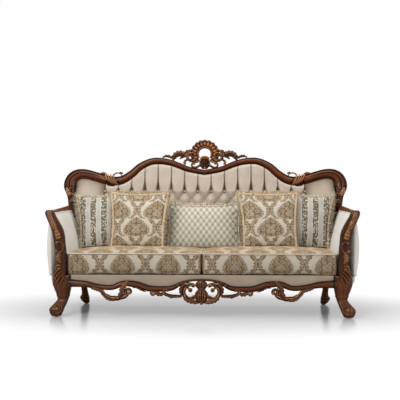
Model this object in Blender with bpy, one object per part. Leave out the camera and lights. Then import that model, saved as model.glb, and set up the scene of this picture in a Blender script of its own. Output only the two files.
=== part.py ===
"""Carved three-seat settee: show-wood frame, buttoned back, two loose seat cushions, five pillows.

Metres, +Z up. The front faces -Y. Left means the viewer's left, -X.
The carved crest and apron are the finest work: pierced scrolls round a fluted shell.
"""

import math

import bmesh
import bpy
import numpy as np
from mathutils import Matrix, Vector
from mathutils.bvhtree import BVHTree

# Clearances
GAP = 0.0003              # between wooden faces that touch
EDGE_GAP = 0.0016         # between a pad's edge and the wood round it
SIDE_PLAY = 0.0025        # between a seat cushion and an arm post
CENTRE_PLAY = 0.006       # between the two seat cushions
PILLOW_REST_GAP = 0.0008  # between a pillow and the seat under it
PILLOW_BACK_GAP = 0.012   # between a striped pillow and what it leans on

# Seat
SEAT_HALF_WIDTH = 0.979   # from the middle to an arm post's inner face
SEAT_FRONT_Y = -0.432     # front of the loose cushions
RAIL_TOP_Z = 0.298
RAIL_HEIGHT = 0.036
DECK_THICKNESS = 0.0065
BAND_DROP_Y = 0.014       # the front band stands behind the cushions' front by this
BAND_THICKNESS = 0.0125
SEAT_RAIL_WIDTH = 0.040
CUSHION_THICKNESS = 0.156
CUSHION_CROWN = 0.024
CROWN_POWER = 2.6         # how flat the crown's middle is
CROWN_CORNER_POWER = 9    # how square the crown runs into the corners
CUSHION_DRAW = 0.006      # how far a side pulls in between corners
BOXING_BULGE = 0.004

# Back, in its own reclined plane
BACK_BASE_Y = 0.205
BACK_LIFT = 0.002         # its base over the seat rails
RECLINE = math.radians(10.0)
BACK_OVERHANG = 0.169     # from the seat's side to the shoulder's outermost line
BACK_RISE = 0.893         # up the slope, from the base to the top of the crests
FRAME_HALF_WIDTH = 0.0525  # widest half width of the moulding, at the shoulder
FRAME_DEPTH = 0.060
FRAME_BACK_W = -0.030     # rear face of the back frame, towards the front is positive
PAD_EDGE_W = 0.014        # front of the pads at their edges
PAD_PUFF = 0.034          # how far the pads swell in front of their edges
TUFT_PITCH = 0.10733
TUFT_ROW_PITCH = 0.0735
TUFT_TOP_RISE = 0.613     # up the slope, from the base to the top row of buttons
TUFT_COLUMNS = 15         # whole tufts across, which set the buttoned pad's width
TUFT_EDGE_SHARE = 0.6     # width of the pad's rounded edge over the row pitch
TUFT_FLOOR_SHARE = 0.25   # height left at the buttons over the full swell
END_PAD_SHARE = 0.90      # where an end pad's top turns down its side
END_PUFF_SHARE = 0.7      # its swell over the buttoned pad's
PAD_BOTTOM_RISE = 0.012
BACKING_THICKNESS = 0.010
UPRIGHT_WIDTH = 0.060
UPRIGHT_SHARE = 0.321     # its place over the back's half width
LOWER_RAIL_HEIGHT = 0.050
LOWER_RAIL_RISE = 0.020

# Legs and arm posts
GLIDE_RADIUS = 0.014
GLIDE_HEIGHT = 0.006
KNEE_SIZE = 0.140
LEG_OFFSET = 0.041        # from the seat's side to the leg's middle
LEG_SET_BACK = 0.052      # behind the cushions' front
REAR_LEG_SIZE = 0.056
REAR_LEG_OFFSET = 0.006
REAR_LEG_SET_BACK = 0.003  # behind the back's base
POST_OFFSET = 0.039
POST_SET_BACK = 0.0195
POST_WIDTH = 0.078
POST_DEPTH = 0.065
POST_TOP_LIFT = 0.003     # the post's top over the arm rail's

# Arms
ARM_RAIL_RADIUS = 0.022
ARM_HEIGHT = 0.474        # the arm rail's top over the seat rails
ARM_RAIL_RISE = 0.026     # how much higher its rear end is
ARM_RAIL_OFFSET = 0.123
ARM_RAIL_BOW = 0.017
SIDE_RAIL_WIDTH = 0.090
SIDE_RAIL_OFFSET = 0.071
SIDE_RAIL_DROP = 0.027    # its bottom below the other rails'
ARM_BOARD_THICKNESS = 0.012
ARM_BOARD_DROP = 0.050    # its top below the arm rail's
ARM_BOARD_BOTTOM_OFFSET = 0.047
ARM_BOARD_LEAN = 0.060
ARM_PAD_DROP = 0.020
ARM_PAD_THICKNESS = 0.046
ARM_PAD_EDGE = 0.004      # thinnest edge of an arm pad
ARM_PAD_SWELL = 0.006
PANEL_BOTTOM_LIFT = 0.010  # the outer panel starts above the side rail's lower edge by this
PANEL_TOP_GAP = 0.004
PANEL_BULGE = 0.050
PANEL_EDGE_THICKNESS = 0.018

# Apron
APRON_INSET = 0.029       # its half span is the seat's less this
APRON_TOP_DROP = 0.019    # its top below the seat rails'
APRON_DROP = 0.187
APRON_HALF_WIDTH = 0.029
APRON_LEAD = 0.014        # its front before the cushions'
APRON_THICKNESS = 0.027
APRON_SCROLL_RADIUS = 0.015
CARTOUCHE_SHARE = 0.179   # the cartouche's half span over the apron's
VOLUTE_RADIUS = 0.052
VOLUTE_X = 0.081
VOLUTE_DROP = 0.0854      # the volutes' middle below the apron's top
VOLUTE_START = math.radians(300)
VOLUTE_END = math.radians(-80)
VOLUTE_WIND_SHARE = 0.68  # how much of its radius the spiral loses

# Crest, from the middle of its open shell
CREST_LIFT = 0.152448     # the middle of the shell's opening over the top rail's middle line
SHELL_OUTER = 0.120
SHELL_HOLE = 0.050
SHELL_FLUTES = 13
SHELL_DEPTH = 0.046
SHELL_OPEN_ANGLE = math.radians(38)  # how far below its middle the shell reaches on each side
CREST_SCROLL_RADIUS = 0.0145

# Pillows
PILLOW_TILT = math.radians(13.0)
PILLOW_TURN = math.radians(9.0)
PILLOW_LEAN = math.radians(2.0)
STRIPED_WIDTH = 0.430
DAMASK_WIDTH = 0.455
SQUARE_HEIGHT = 0.415
LUMBAR_WIDTH = 0.565
LUMBAR_HEIGHT = 0.340
PILLOW_SWELL = 0.062
PILLOW_EDGE = 0.006
PILLOW_DRAW = 0.016
STRIPED_INSET = 0.191     # from the seat's side to a striped pillow's middle
DAMASK_INSET = 0.471

# Inside pieces
BEARER_WIDTH = 0.040
BEARER_X = 0.330
SPRING_WIRE = 0.0018
SPRING_AMPLITUDE = 0.022
SPRING_WAVES = 5
SPRING_SHARES = (-0.72, -0.18, 0.18, 0.72)  # places over the seat's half width
DUST_COVER_THICKNESS = 0.002
BLOCK_SIZE = 0.052

RAIL_BOTTOM_Z = RAIL_TOP_Z - RAIL_HEIGHT
SIDE_RAIL_BOTTOM_Z = RAIL_BOTTOM_Z - SIDE_RAIL_DROP
DECK_TOP_Z = RAIL_TOP_Z + GAP + DECK_THICKNESS
LEG_TOP_Z = RAIL_TOP_Z
BACK_BASE_Z = RAIL_TOP_Z + BACK_LIFT
BACK_HALF_WIDTH = SEAT_HALF_WIDTH + BACK_OVERHANG
TUFT_HALF_WIDTH = TUFT_PITCH * TUFT_COLUMNS / 2
LEG_X = SEAT_HALF_WIDTH + LEG_OFFSET
LEG_Y = SEAT_FRONT_Y + LEG_SET_BACK
REAR_LEG_X = SEAT_HALF_WIDTH + REAR_LEG_OFFSET
REAR_LEG_Y = BACK_BASE_Y + REAR_LEG_SET_BACK
POST_X = SEAT_HALF_WIDTH + POST_OFFSET
POST_Y = SEAT_FRONT_Y + POST_SET_BACK
POST_HEIGHT = ARM_HEIGHT + POST_TOP_LIFT
ARM_RAIL_TOP_Z = RAIL_TOP_Z + ARM_HEIGHT
ARM_RAIL_X = SEAT_HALF_WIDTH + ARM_RAIL_OFFSET
SIDE_RAIL_X = SEAT_HALF_WIDTH + SIDE_RAIL_OFFSET
ARM_BOARD_TOP_Z = ARM_RAIL_TOP_Z - ARM_BOARD_DROP
ARM_BOARD_BOTTOM_X = SEAT_HALF_WIDTH + ARM_BOARD_BOTTOM_OFFSET
ARM_BOARD_TOP_X = ARM_BOARD_BOTTOM_X + ARM_BOARD_LEAN
ARM_PAD_TOP_Z = ARM_RAIL_TOP_Z - ARM_PAD_DROP
APRON_HALF_SPAN = SEAT_HALF_WIDTH - APRON_INSET
APRON_TOP_Z = RAIL_TOP_Z - APRON_TOP_DROP
APRON_FRONT_Y = SEAT_FRONT_Y - APRON_LEAD
CARTOUCHE_HALF_SPAN = APRON_HALF_SPAN * CARTOUCHE_SHARE
VOLUTE_Z = APRON_TOP_Z - VOLUTE_DROP
STRIPED_X = SEAT_HALF_WIDTH - STRIPED_INSET
DAMASK_X = SEAT_HALF_WIDTH - DAMASK_INSET
FRAME_FRONT_W = FRAME_BACK_W + FRAME_DEPTH
BAND_FRONT_Y = SEAT_FRONT_Y + BAND_DROP_Y
FRONT_RAIL_FRONT_Y = BAND_FRONT_Y + BAND_THICKNESS + GAP
FRONT_RAIL_BACK_Y = FRONT_RAIL_FRONT_Y + SEAT_RAIL_WIDTH

# Back frame from its middle out, round the shoulder and down to the seat:
# x over the half width, rise over the back's rise, half width over the widest
FRAME_SHARES = [
    (0.000, 0.864, 0.38), (0.111, 0.892, 0.40), (0.191, 0.932, 0.43), (0.248, 0.957, 0.46),
    (0.321, 0.971, 0.49), (0.385, 0.963, 0.51), (0.457, 0.918, 0.55), (0.514, 0.853, 0.59),
    (0.571, 0.803, 0.63), (0.618, 0.786, 0.66), (0.660, 0.787, 0.68), (0.714, 0.802, 0.70),
    (0.784, 0.830, 0.71), (0.845, 0.849, 0.74), (0.897, 0.846, 0.82), (0.934, 0.818, 0.92),
    (0.952, 0.772, 1.00), (0.954, 0.728, 1.00), (0.951, 0.690, 0.80), (0.946, 0.640, 0.58),
    (0.941, 0.566, 0.50), (0.935, 0.498, 0.48), (0.910, 0.340, 0.48), (0.880, 0.136, 0.50),
    (0.853, -0.050, 0.51)]
WRAP_CENTRE_SHARE = 0.660
WRAP_HALF_SHARE = 0.0215
WRAP_SWELL_SHARE = 0.17   # the strands stand out past the moulding by this share of its half width
WRAP_DEPTH_SHARE = 1.15   # how far its front stands out over the moulding's
WRAP_STRANDS = 3
STRAND_SHARE = 0.4        # half the depth between two strands over the swell
JOINT_RISE_SHARE = 0.718

# Moulding of the back frame and the apron: across from -1 to 1, depth from back 0 to front 1
MOULDING_SHARES = [
    (-1.0, 0.0), (-1.0, 0.62), (-0.86, 0.80), (-0.66, 0.72), (-0.36, 0.93), (0.0, 1.0),
    (0.36, 0.93), (0.66, 0.72), (0.86, 0.80), (1.0, 0.62), (1.0, 0.0)]

# The same without its grooves, for what is cut to fit over it
COVER_SHARES = [row for row in MOULDING_SHARES if abs(row[0]) != 0.66]

# Apron from its middle out: x over the half span, drop over the apron's drop, half width over the widest
APRON_SHARES = [
    (0.000, 0.037, 0.24), (0.068, 0.056, 0.24), (0.116, 0.102, 0.31), (0.156, 0.176, 0.45),
    (0.226, 0.353, 0.62), (0.314, 0.390, 0.69), (0.401, 0.369, 0.76), (0.488, 0.235, 0.83),
    (0.567, 0.182, 0.74), (0.619, 0.225, 0.72), (0.689, 0.345, 0.64), (0.795, 0.305, 0.66),
    (0.884, 0.214, 0.78), (1.016, 0.176, 1.00)]

# Scroll under each half of the apron: x share, drop share, tube radius share
SIDE_SCROLL_SHARES = [
    (0.862, 0.300, 0.45), (0.815, 0.370, 0.62), (0.772, 0.470, 0.85), (0.742, 0.620, 0.95),
    (0.715, 0.735, 1.00), (0.670, 0.775, 1.00), (0.620, 0.730, 0.95), (0.588, 0.640, 0.95),
    (0.566, 0.560, 1.10)]
SIDE_LEAF_SHARES = [
    (0.640, 0.690, 0.70), (0.604, 0.560, 0.95), (0.590, 0.420, 1.05), (0.603, 0.300, 0.90),
    (0.630, 0.215, 0.60)]
SIDE_CURL_SHARES = [
    (0.600, 0.700, 0.60), (0.572, 0.680, 0.95), (0.545, 0.600, 1.00), (0.545, 0.490, 0.85),
    (0.572, 0.450, 0.60)]
LOWER_LEAF_SHARES = [
    (0.470, 0.330, 0.45), (0.405, 0.450, 0.75), (0.350, 0.545, 1.00), (0.300, 0.545, 0.95),
    (0.240, 0.560, 0.75), (0.206, 0.600, 0.60), (0.178, 0.560, 0.50)]

# Hanging leaves, shell body and finial of the apron's cartouche
HANGING_SHARES = [
    (0.178, 0.560, 0.50), (0.150, 0.640, 0.85), (0.132, 0.735, 1.10), (0.096, 0.800, 1.05),
    (0.062, 0.850, 0.95), (0.006, 0.885, 0.80)]
LINK_SHARES = [(0.166, 0.190, 0.70), (0.152, 0.330, 0.90), (0.138, 0.470, 0.95)]
BODY_SHARES = [
    (0.0, 0.020, 1.13), (0.0, 0.120, 1.33), (0.0, 0.240, 1.73), (0.0, 0.330, 2.00), (0.0, 0.440, 1.60),
    (0.0, 0.520, 1.67), (0.0, 0.620, 2.40), (0.0, 0.740, 2.27), (0.0, 0.850, 1.60), (0.0, 0.930, 1.13),
    (0.0, 1.000, 0.47)]

# Section of the shell: radius over its hole's or its own, and front over its depth, flat and swelled with a flute
SHELL_INNER_SHARES = ((1.00, 0.05, 0.00), (1.18, 0.40, 0.00), (1.35, 0.12, 0.14))
SHELL_RIM_SHARES = ((0.75, 0.24, 0.26), (1.00, 0.10, 0.12), (0.96, -0.34, 0.00))
SHELL_BACK_SHARES = ((1.20, -0.38, 0.00),)
FLUTE_SHARE = 0.07        # depth of the rim's scallops over the outer radius

# Crest pieces in shares of the shell's outer radius: x, rise, tube radius over its own size
CREST_SCROLL_SHARES = [
    (1.02, 0.36, 0.55), (1.24, 0.20, 0.95), (1.33, -0.08, 1.15), (1.22, -0.36, 1.20),
    (0.95, -0.52, 1.20), (0.62, -0.53, 1.10), (0.36, -0.44, 0.90)]
CREST_LOWER_SHARES = [
    (0.20, -0.56, 0.75), (0.42, -0.80, 0.80), (0.66, -0.92, 0.80), (0.88, -0.80, 0.75),
    (0.84, -0.62, 0.60), (0.68, -0.60, 0.75)]
CREST_LINK_SHARES = [
    (1.16, -0.40, 0.65), (1.38, -0.42, 0.70), (1.52, -0.54, 0.85), (1.50, -0.72, 0.60)]
CREST_LEAF_SHARES = [
    (1.28, -0.02, 0.75), (1.50, 0.12, 1.00), (1.76, 0.12, 1.20), (2.00, -0.02, 1.05),
    (2.16, -0.26, 0.85), (2.30, -0.34, 0.75)]
CREST_END_SHARES = [
    (2.14, -0.26, 0.60), (2.42, -0.17, 0.70), (2.66, -0.14, 0.75), (2.86, -0.20, 0.55)]
CREST_FOOT_SHARES = [
    (0.00, -0.40, 1.60), (0.00, -0.62, 1.90), (0.00, -0.86, 1.60), (0.00, -1.10, 1.25)]
CREST_BUD_SHARES = [
    (0.00, -0.26, 1.2), (0.00, -0.36, 2.4), (0.00, -0.56, 2.1), (0.00, -0.78, 2.3), (0.00, -0.90, 1.3)]

# Small loop and leaf that spring from each wrap, from the wrap's middle in shares of its own size
TENDRIL_SIZE = 0.060
TENDRIL_RADIUS = 0.0072
TENDRIL_SHARES = [
    (0.05, 0.52, 1.10), (-0.25, 0.98, 1.00), (-0.75, 1.06, 0.95), (-1.12, 0.96, 0.80), (-1.32, 0.84, 0.60)]
SPRIG_SHARES = [(0.00, 0.55, 1.10), (0.30, 1.10, 1.00), (0.80, 1.32, 0.80), (1.30, 1.44, 0.50)]

# Front leg: height share, inner, outer, front and back face in shares of the knee's size
FRONT_LEG_SHARES = [
    (0.021, 0.014, 0.514, -0.464, 0.014), (0.100, -0.071, 0.593, -0.586, 0.036),
    (0.200, -0.157, 0.614, -0.614, 0.086), (0.285, -0.229, 0.464, -0.464, 0.164),
    (0.403, -0.314, 0.257, -0.271, 0.264), (0.503, -0.371, 0.271, -0.286, 0.321),
    (0.638, -0.443, 0.379, -0.393, 0.414), (0.789, -0.493, 0.486, -0.493, 0.486),
    (0.906, -0.500, 0.500, -0.500, 0.500), (1.000, -0.500, 0.464, -0.471, 0.500)]

# Rear leg, in shares of its own size
REAR_LEG_SHARES = [
    (0.021, -0.95, -0.15, 0.55, 1.35), (0.090, -0.98, 0.20, 0.45, 1.38), (0.170, -0.95, 0.38, 0.38, 1.30),
    (0.270, -0.86, 0.10, 0.20, 1.05), (0.450, -0.74, 0.12, -0.10, 0.72), (0.700, -0.60, 0.34, -0.38, 0.50),
    (1.000, -0.50, 0.50, -0.58, 0.45)]

# Arm post: height share, inner and outer face over the post's width, front and back face over its depth
POST_SHARES = [
    (0.000, -0.487, 0.769, -0.55, 0.50), (0.066, -0.487, 0.769, -0.55, 0.50),
    (0.115, -0.490, 0.590, -0.50, 0.50), (0.213, -0.474, 0.462, -0.48, 0.50),
    (0.289, -0.449, 0.513, -0.50, 0.50), (0.402, -0.410, 0.590, -0.52, 0.50),
    (0.499, -0.346, 0.667, -0.50, 0.50), (0.639, -0.256, 0.820, -0.48, 0.50),
    (0.738, -0.050, 1.000, -0.50, 0.50), (0.822, 0.230, 1.218, -0.50, 0.50),
    (0.906, 0.538, 1.436, -0.48, 0.50), (0.962, 0.692, 1.513, -0.44, 0.50),
    (1.000, 0.859, 1.372, -0.30, 0.44)]

# Inner face of the arm pad: height share, x from the seat's half width over the pad's thickness
ARM_PAD_SHARES = [
    (0.00, 0.10), (0.18, 0.02), (0.36, 0.06), (0.52, 0.34), (0.66, 0.72), (0.80, 1.18), (0.92, 1.60), (1.00, 1.98)]

# Grids and counts
CUSHION_CUT_SHARES = ((0.0, 0.45, 0.78, 0.94), (0.0, 0.42, 0.76, 0.93), (0.0,))
PILLOW_CUT_SHARES = ((0.0, 0.40, 0.72, 0.92), (0.0, 0.40, 0.72, 0.92), ())
SECTION_POINTS = 12

WALNUT = (0.105, 0.038, 0.018)
CARVED = (0.190, 0.085, 0.036)
INNER_WOOD = (0.480, 0.330, 0.190)
BACK_CLOTH = (0.520, 0.440, 0.370)
ARM_CLOTH = (0.700, 0.660, 0.610)
BAND_CLOTH = (0.300, 0.230, 0.170)
DAMASK_CLOTH = (0.420, 0.330, 0.220)
PALE_DAMASK = (0.560, 0.470, 0.340)
STRIPE_CLOTH = (0.500, 0.480, 0.430)
LATTICE_CLOTH = (0.620, 0.610, 0.560)
WEBBING = (0.050, 0.045, 0.040)
STEEL = (0.350, 0.350, 0.360)


def clear_scene():
    for obj in list(bpy.data.objects):
        bpy.data.objects.remove(obj, do_unlink=True)


def new_collection(name):
    group = bpy.data.collections.new(name)
    bpy.context.scene.collection.children.link(group)
    return group


def finish_material(name, colour, roughness, metallic=0.0):
    made = bpy.data.materials.new(name)
    made.use_nodes = True
    shader = made.node_tree.nodes["Principled BSDF"]
    shader.inputs["Base Color"].default_value = (*colour, 1.0)
    shader.inputs["Roughness"].default_value = roughness
    shader.inputs["Metallic"].default_value = metallic
    return made


def place(name, mesh, colour, roughness, parent=None, metallic=0.0):
    """Puts a mesh in the settee's collection under its own material."""
    obj = bpy.data.objects.new(name, mesh)
    mesh.materials.append(finish_material(name, colour, roughness, metallic))
    SOFA.objects.link(obj)
    obj.parent = parent
    return obj


def as_cutter(mesh, parent=None):
    """A helper solid: it only cuts or joins others."""
    obj = bpy.data.objects.new("helper", mesh)
    CUTTERS.objects.link(obj)
    obj.parent = parent
    obj.hide_render = True
    obj.display_type = "WIRE"
    return obj


def cut(obj, helper, operation="DIFFERENCE"):
    modifier = obj.modifiers.new(operation.lower(), "BOOLEAN")
    modifier.operation = operation
    modifier.object = helper
    return obj


def mesh_from_bmesh(built):
    bmesh.ops.recalc_face_normals(built, faces=built.faces)
    if built.calc_volume(signed=True) < 0:
        bmesh.ops.reverse_faces(built, faces=built.faces)
    mesh = bpy.data.meshes.new("shape")
    built.to_mesh(mesh)
    built.free()
    mesh.shade_smooth()
    mesh.set_sharp_from_angle(angle=math.radians(40))
    return mesh


def resample(rows, count, places=2):
    """Rows on a smooth curve through the given ones, evenly spaced along their first columns."""
    rows = np.asarray(rows, float)
    padded = np.vstack([2 * rows[0] - rows[1], rows, 2 * rows[-1] - rows[-2]])
    steps = np.linspace(0, 1, 12, endpoint=False)[:, None]
    pieces = []
    for first, start, end, last in zip(padded, padded[1:], padded[2:], padded[3:]):
        pieces.append(0.5 * (2 * start + (end - first) * steps
                             + (2 * first - 5 * start + 4 * end - last) * steps ** 2
                             + (3 * start - first - 3 * end + last) * steps ** 3))
    fine = np.vstack(pieces + [rows[-1:]])
    arc = np.concatenate([[0], np.cumsum(np.linalg.norm(np.diff(fine[:, :places], axis=0), axis=1))])
    even = np.linspace(0, arc[-1], count)
    return np.column_stack([np.interp(even, arc, column) for column in fine.T])


def loft(rings):
    """Skin over rings of equal count, with flat ends."""
    rings = np.asarray(rings)
    count, around = rings.shape[:2]
    built = bmesh.new()
    points = [[built.verts.new(point) for point in ring] for ring in rings]
    for ring, following in zip(points, points[1:]):
        for k in range(around):
            after = (k + 1) % around
            built.faces.new((ring[k], ring[after], following[after], following[k]))
    built.faces.new(points[0])
    built.faces.new(points[-1])
    return mesh_from_bmesh(built)


def slab(front, back):
    """Closed pad between a front grid and the flat area inside the back grid's border."""
    rows, columns = front.shape[:2]
    built = bmesh.new()
    face = [[built.verts.new(point) for point in row] for row in front]
    for low, high in zip(face, face[1:]):
        for k in range(columns - 1):
            built.faces.new((low[k], low[k + 1], high[k + 1], high[k]))
    border = ([(0, k) for k in range(columns)] + [(r, columns - 1) for r in range(1, rows)]
              + [(rows - 1, k) for k in range(columns - 2, -1, -1)] + [(r, 0) for r in range(rows - 2, 0, -1)])
    rear = [built.verts.new(back[r, k]) for r, k in border]
    for k, (r, c) in enumerate(border):
        after = (k + 1) % len(border)
        built.faces.new((face[r][c], face[border[after][0]][border[after][1]], rear[after], rear[k]))
    built.faces.new(rear)
    return mesh_from_bmesh(built)


def sweep(path, y_back, y_front, profile=MOULDING_SHARES, grow=0.0):
    """Moulding carried along a path in the XZ plane; path rows hold x, z, the half width and the direction."""
    path = np.asarray(path)
    tangent = path[:, 3:5]
    across, depth = np.asarray(profile).T
    reach = (path[:, 2] + grow)[:, None] * across
    x = path[:, 0:1] - tangent[:, 1:2] * reach
    z = path[:, 1:2] + tangent[:, 0:1] * reach
    y = y_back + grow + (y_front - y_back - 2 * grow) * depth
    return loft(np.stack([x, np.broadcast_to(y, x.shape), z], axis=2))


def tube(rows, size, y, flat=1.0, count=16, resolution=1, radius_share=1.0):
    """Tapering round scroll through rows of x, z and radius share, made from a bevelled curve."""
    rows = resample(rows, count)
    curve = bpy.data.curves.new("scroll", "CURVE")
    curve.dimensions = "3D"
    curve.bevel_depth = size * radius_share
    curve.bevel_resolution = resolution
    curve.use_fill_caps = True
    spline = curve.splines.new("POLY")
    spline.points.add(count - 1)
    for point, (x, z, share) in zip(spline.points, rows):
        point.co = (x, 0.0, z, 1.0)
        point.radius = share
    guide = bpy.data.objects.new("guide", curve)
    CUTTERS.objects.link(guide)
    guide.matrix_world = Matrix.Translation((0.0, y, 0.0)) @ Matrix.Diagonal((1.0, flat, 1.0, 1.0))
    return curve_to_mesh(guide)


def curve_to_mesh(guide):
    """Makes a curve object a welded mesh and removes the curve."""
    bpy.context.view_layer.update()
    shape = guide.evaluated_get(bpy.context.evaluated_depsgraph_get())
    mesh = bpy.data.meshes.new_from_object(shape)
    mesh.transform(guide.matrix_world)
    bpy.data.objects.remove(guide, do_unlink=True)
    built = bmesh.new()
    built.from_mesh(mesh)
    bmesh.ops.remove_doubles(built, verts=built.verts, dist=0.00001)
    bpy.data.meshes.remove(mesh)
    return mesh_from_bmesh(built)


def plate(outline, y_front, thickness):
    """Flat board with an outline in the XZ plane, from a filled flat curve."""
    curve = bpy.data.curves.new("outline", "CURVE")
    curve.dimensions = "2D"
    curve.fill_mode = "BOTH"
    curve.extrude = thickness / 2
    spline = curve.splines.new("POLY")
    spline.points.add(len(outline) - 1)
    for point, (x, z) in zip(spline.points, outline):
        point.co = (x, z, 0.0, 1.0)
    spline.use_cyclic_u = True
    guide = bpy.data.objects.new("guide", curve)
    CUTTERS.objects.link(guide)
    guide.matrix_world = (Matrix.Translation((0.0, y_front + thickness / 2, 0.0))
                          @ Matrix.Rotation(math.radians(90), 4, "X"))
    return curve_to_mesh(guide)


def box(low, high):
    built = bmesh.new()
    bmesh.ops.create_cube(built, size=1.0)
    low, high = Vector(low), Vector(high)
    bmesh.ops.scale(built, vec=high - low, verts=built.verts)
    bmesh.ops.translate(built, vec=(low + high) / 2, verts=built.verts)
    return mesh_from_bmesh(built)


def cylinder(radius, height, x, y, sides=16):
    built = bmesh.new()
    bmesh.ops.create_cone(built, cap_ends=True, segments=sides, radius1=radius, radius2=radius, depth=height)
    bmesh.ops.translate(built, vec=(x, y, height / 2), verts=built.verts)
    return mesh_from_bmesh(built)


def ball(radius, x, y, z, flat=1.0):
    built = bmesh.new()
    bmesh.ops.create_uvsphere(built, u_segments=10, v_segments=7, radius=radius)
    bmesh.ops.scale(built, vec=(1.0, flat, 1.0), verts=built.verts)
    bmesh.ops.translate(built, vec=(x, y, z), verts=built.verts)
    return mesh_from_bmesh(built)


def cut_cube(cut_shares):
    """A cube from -1 to 1 with extra edge loops at the given shares, on both sides of its middle."""
    built = bmesh.new()
    bmesh.ops.create_cube(built, size=2.0)
    for axis, shares in enumerate(cut_shares):
        for share in sorted({sign * share for share in shares for sign in (-1, 1)}):
            normal = Vector([1.0 if k == axis else 0.0 for k in range(3)])
            bmesh.ops.bisect_plane(built, geom=built.verts[:] + built.edges[:] + built.faces[:],
                                   plane_co=normal * share, plane_no=normal)
    return built


def mirrored(rows, side):
    """The rows on the given side: the first column is x, the fourth the direction's x."""
    rows = np.array(rows, float)
    rows[:, 0] *= side
    if rows.shape[1] > 3:
        rows[:, 3] *= side
    return rows


def both_halves(half):
    """A right half that starts at the middle, with its mirror image before it."""
    left = half[:0:-1].copy()
    left[:, 0] *= -1
    left[:, 4] *= -1
    return np.vstack([left, half])


def with_direction(rows):
    """Adds each row's unit direction along the path."""
    tangent = np.gradient(rows[:, :2], axis=0)
    tangent /= np.linalg.norm(tangent, axis=1)[:, None]
    return np.column_stack([rows, tangent])


def on_plane(rows, span, rise, size=1.0):
    """Share rows as lengths: first column by span, second by rise, third by size."""
    return np.asarray(rows, float) * (span, rise, size)


def frame_path():
    """Dense centre line of the right half of the back frame with its half width and arc length."""
    rows = with_direction(resample(on_plane(FRAME_SHARES, BACK_HALF_WIDTH, BACK_RISE, FRAME_HALF_WIDTH), 600))
    arc = np.concatenate([[0], np.cumsum(np.linalg.norm(np.diff(rows[:, :2], axis=0), axis=1))])
    return rows, arc


def stretch(rows, arc, start, end, count):
    """Rows between two arc lengths."""
    at = np.linspace(start, end, count)
    return np.column_stack([np.interp(at, arc, column) for column in rows.T])


def frame_arcs(rows, arc):
    """Arc lengths where the wrap starts and ends and where the shoulder meets the post."""
    rising = slice(0, int(np.argmax(rows[:, 0])))
    start = np.interp((WRAP_CENTRE_SHARE - WRAP_HALF_SHARE) * BACK_HALF_WIDTH, rows[rising, 0], arc[rising])
    end = np.interp((WRAP_CENTRE_SHARE + WRAP_HALF_SHARE) * BACK_HALF_WIDTH, rows[rising, 0], arc[rising])
    falling = slice(int(np.argmax(rows[:, 0])), None)
    joint = np.interp(-JOINT_RISE_SHARE * BACK_RISE, -rows[falling, 1], arc[falling])
    return start, end, joint


def inner_edge(rows, arc):
    """Lower or inner edge of the back frame's right half, with room for the wrap."""
    wrap_start, wrap_end, _ = frame_arcs(rows, arc)
    swell = np.where((arc > wrap_start) & (arc < wrap_end), 1 + WRAP_SWELL_SHARE, 1.0)
    return rows[:, :2] + np.column_stack([rows[:, 4], -rows[:, 3]]) * (rows[:, 2] * swell + EDGE_GAP)[:, None]


def back_y(z, w):
    """World y of the back at a world height and a distance in front of its plane."""
    return BACK_BASE_Y + (z - BACK_BASE_Z) * math.tan(RECLINE) - w / math.cos(RECLINE)


def section(x_low, x_high, y_low, y_high, z, squareness=2.8, grow=0.0):
    """One rounded-square ring of an upright piece."""
    angle = np.linspace(0, 2 * math.pi, SECTION_POINTS, endpoint=False) + math.pi / SECTION_POINTS
    reach_x = abs(x_high - x_low) / 2 + grow
    reach_y = (y_high - y_low) / 2 + grow
    x = (x_low + x_high) / 2 + reach_x * np.sign(np.cos(angle)) * np.abs(np.cos(angle)) ** (2 / squareness)
    y = (y_low + y_high) / 2 + reach_y * np.sign(np.sin(angle)) * np.abs(np.sin(angle)) ** (2 / squareness)
    return np.column_stack([x, y, np.full_like(x, z)])


def upright(shares, side, x, y, width, depth, z_low, height, count, squareness=2.8, grow=0.0):
    """Leg or post skinned over rounded-square sections."""
    rows = resample(shares, count, places=1)
    rings = []
    for share, inner, outer, front, back in rows:
        rings.append(section(side * (x + inner * width), side * (x + outer * width),
                             y + front * depth, y + back * depth, z_low + share * height, squareness, grow))
    rings = np.array(rings)
    rings[0, :, 2] -= grow
    rings[-1, :, 2] += grow
    return loft(rings)


def front_leg_mesh(side, grow=0.0):
    return upright(FRONT_LEG_SHARES, side, LEG_X, LEG_Y, KNEE_SIZE, KNEE_SIZE, GAP, LEG_TOP_Z - GAP,
                   17, grow=grow)


def post_mesh(side, grow=0.0):
    return upright(POST_SHARES, side, POST_X, POST_Y, POST_WIDTH, POST_DEPTH, LEG_TOP_Z + GAP, POST_HEIGHT,
                   21, 3.4, grow)


def side_name(stem, side):
    return stem + ("_left" if side < 0 else "_right")


def build_legs():
    for side in (-1, 1):
        place(side_name("front_leg", side), front_leg_mesh(side), WALNUT, 0.3)
        place(side_name("arm_post", side), post_mesh(side), CARVED, 0.35)
        rear = upright(REAR_LEG_SHARES, side, REAR_LEG_X, REAR_LEG_Y, REAR_LEG_SIZE, REAR_LEG_SIZE,
                       GAP, LEG_TOP_Z - GAP, 11)
        place(side_name("rear_leg", side), rear, WALNUT, 0.3)
        feet = (("front_glide", FRONT_LEG_SHARES, LEG_X, LEG_Y, KNEE_SIZE),
                ("rear_glide", REAR_LEG_SHARES, REAR_LEG_X, REAR_LEG_Y, REAR_LEG_SIZE))
        for stem, shares, x, y, size in feet:
            _, inner, outer, front, back = shares[0]
            glide = cylinder(GLIDE_RADIUS, GLIDE_HEIGHT, side * (x + (inner + outer) / 2 * size),
                             y + (front + back) / 2 * size)
            place(side_name(stem, side), glide, WEBBING, 0.6)


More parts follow.
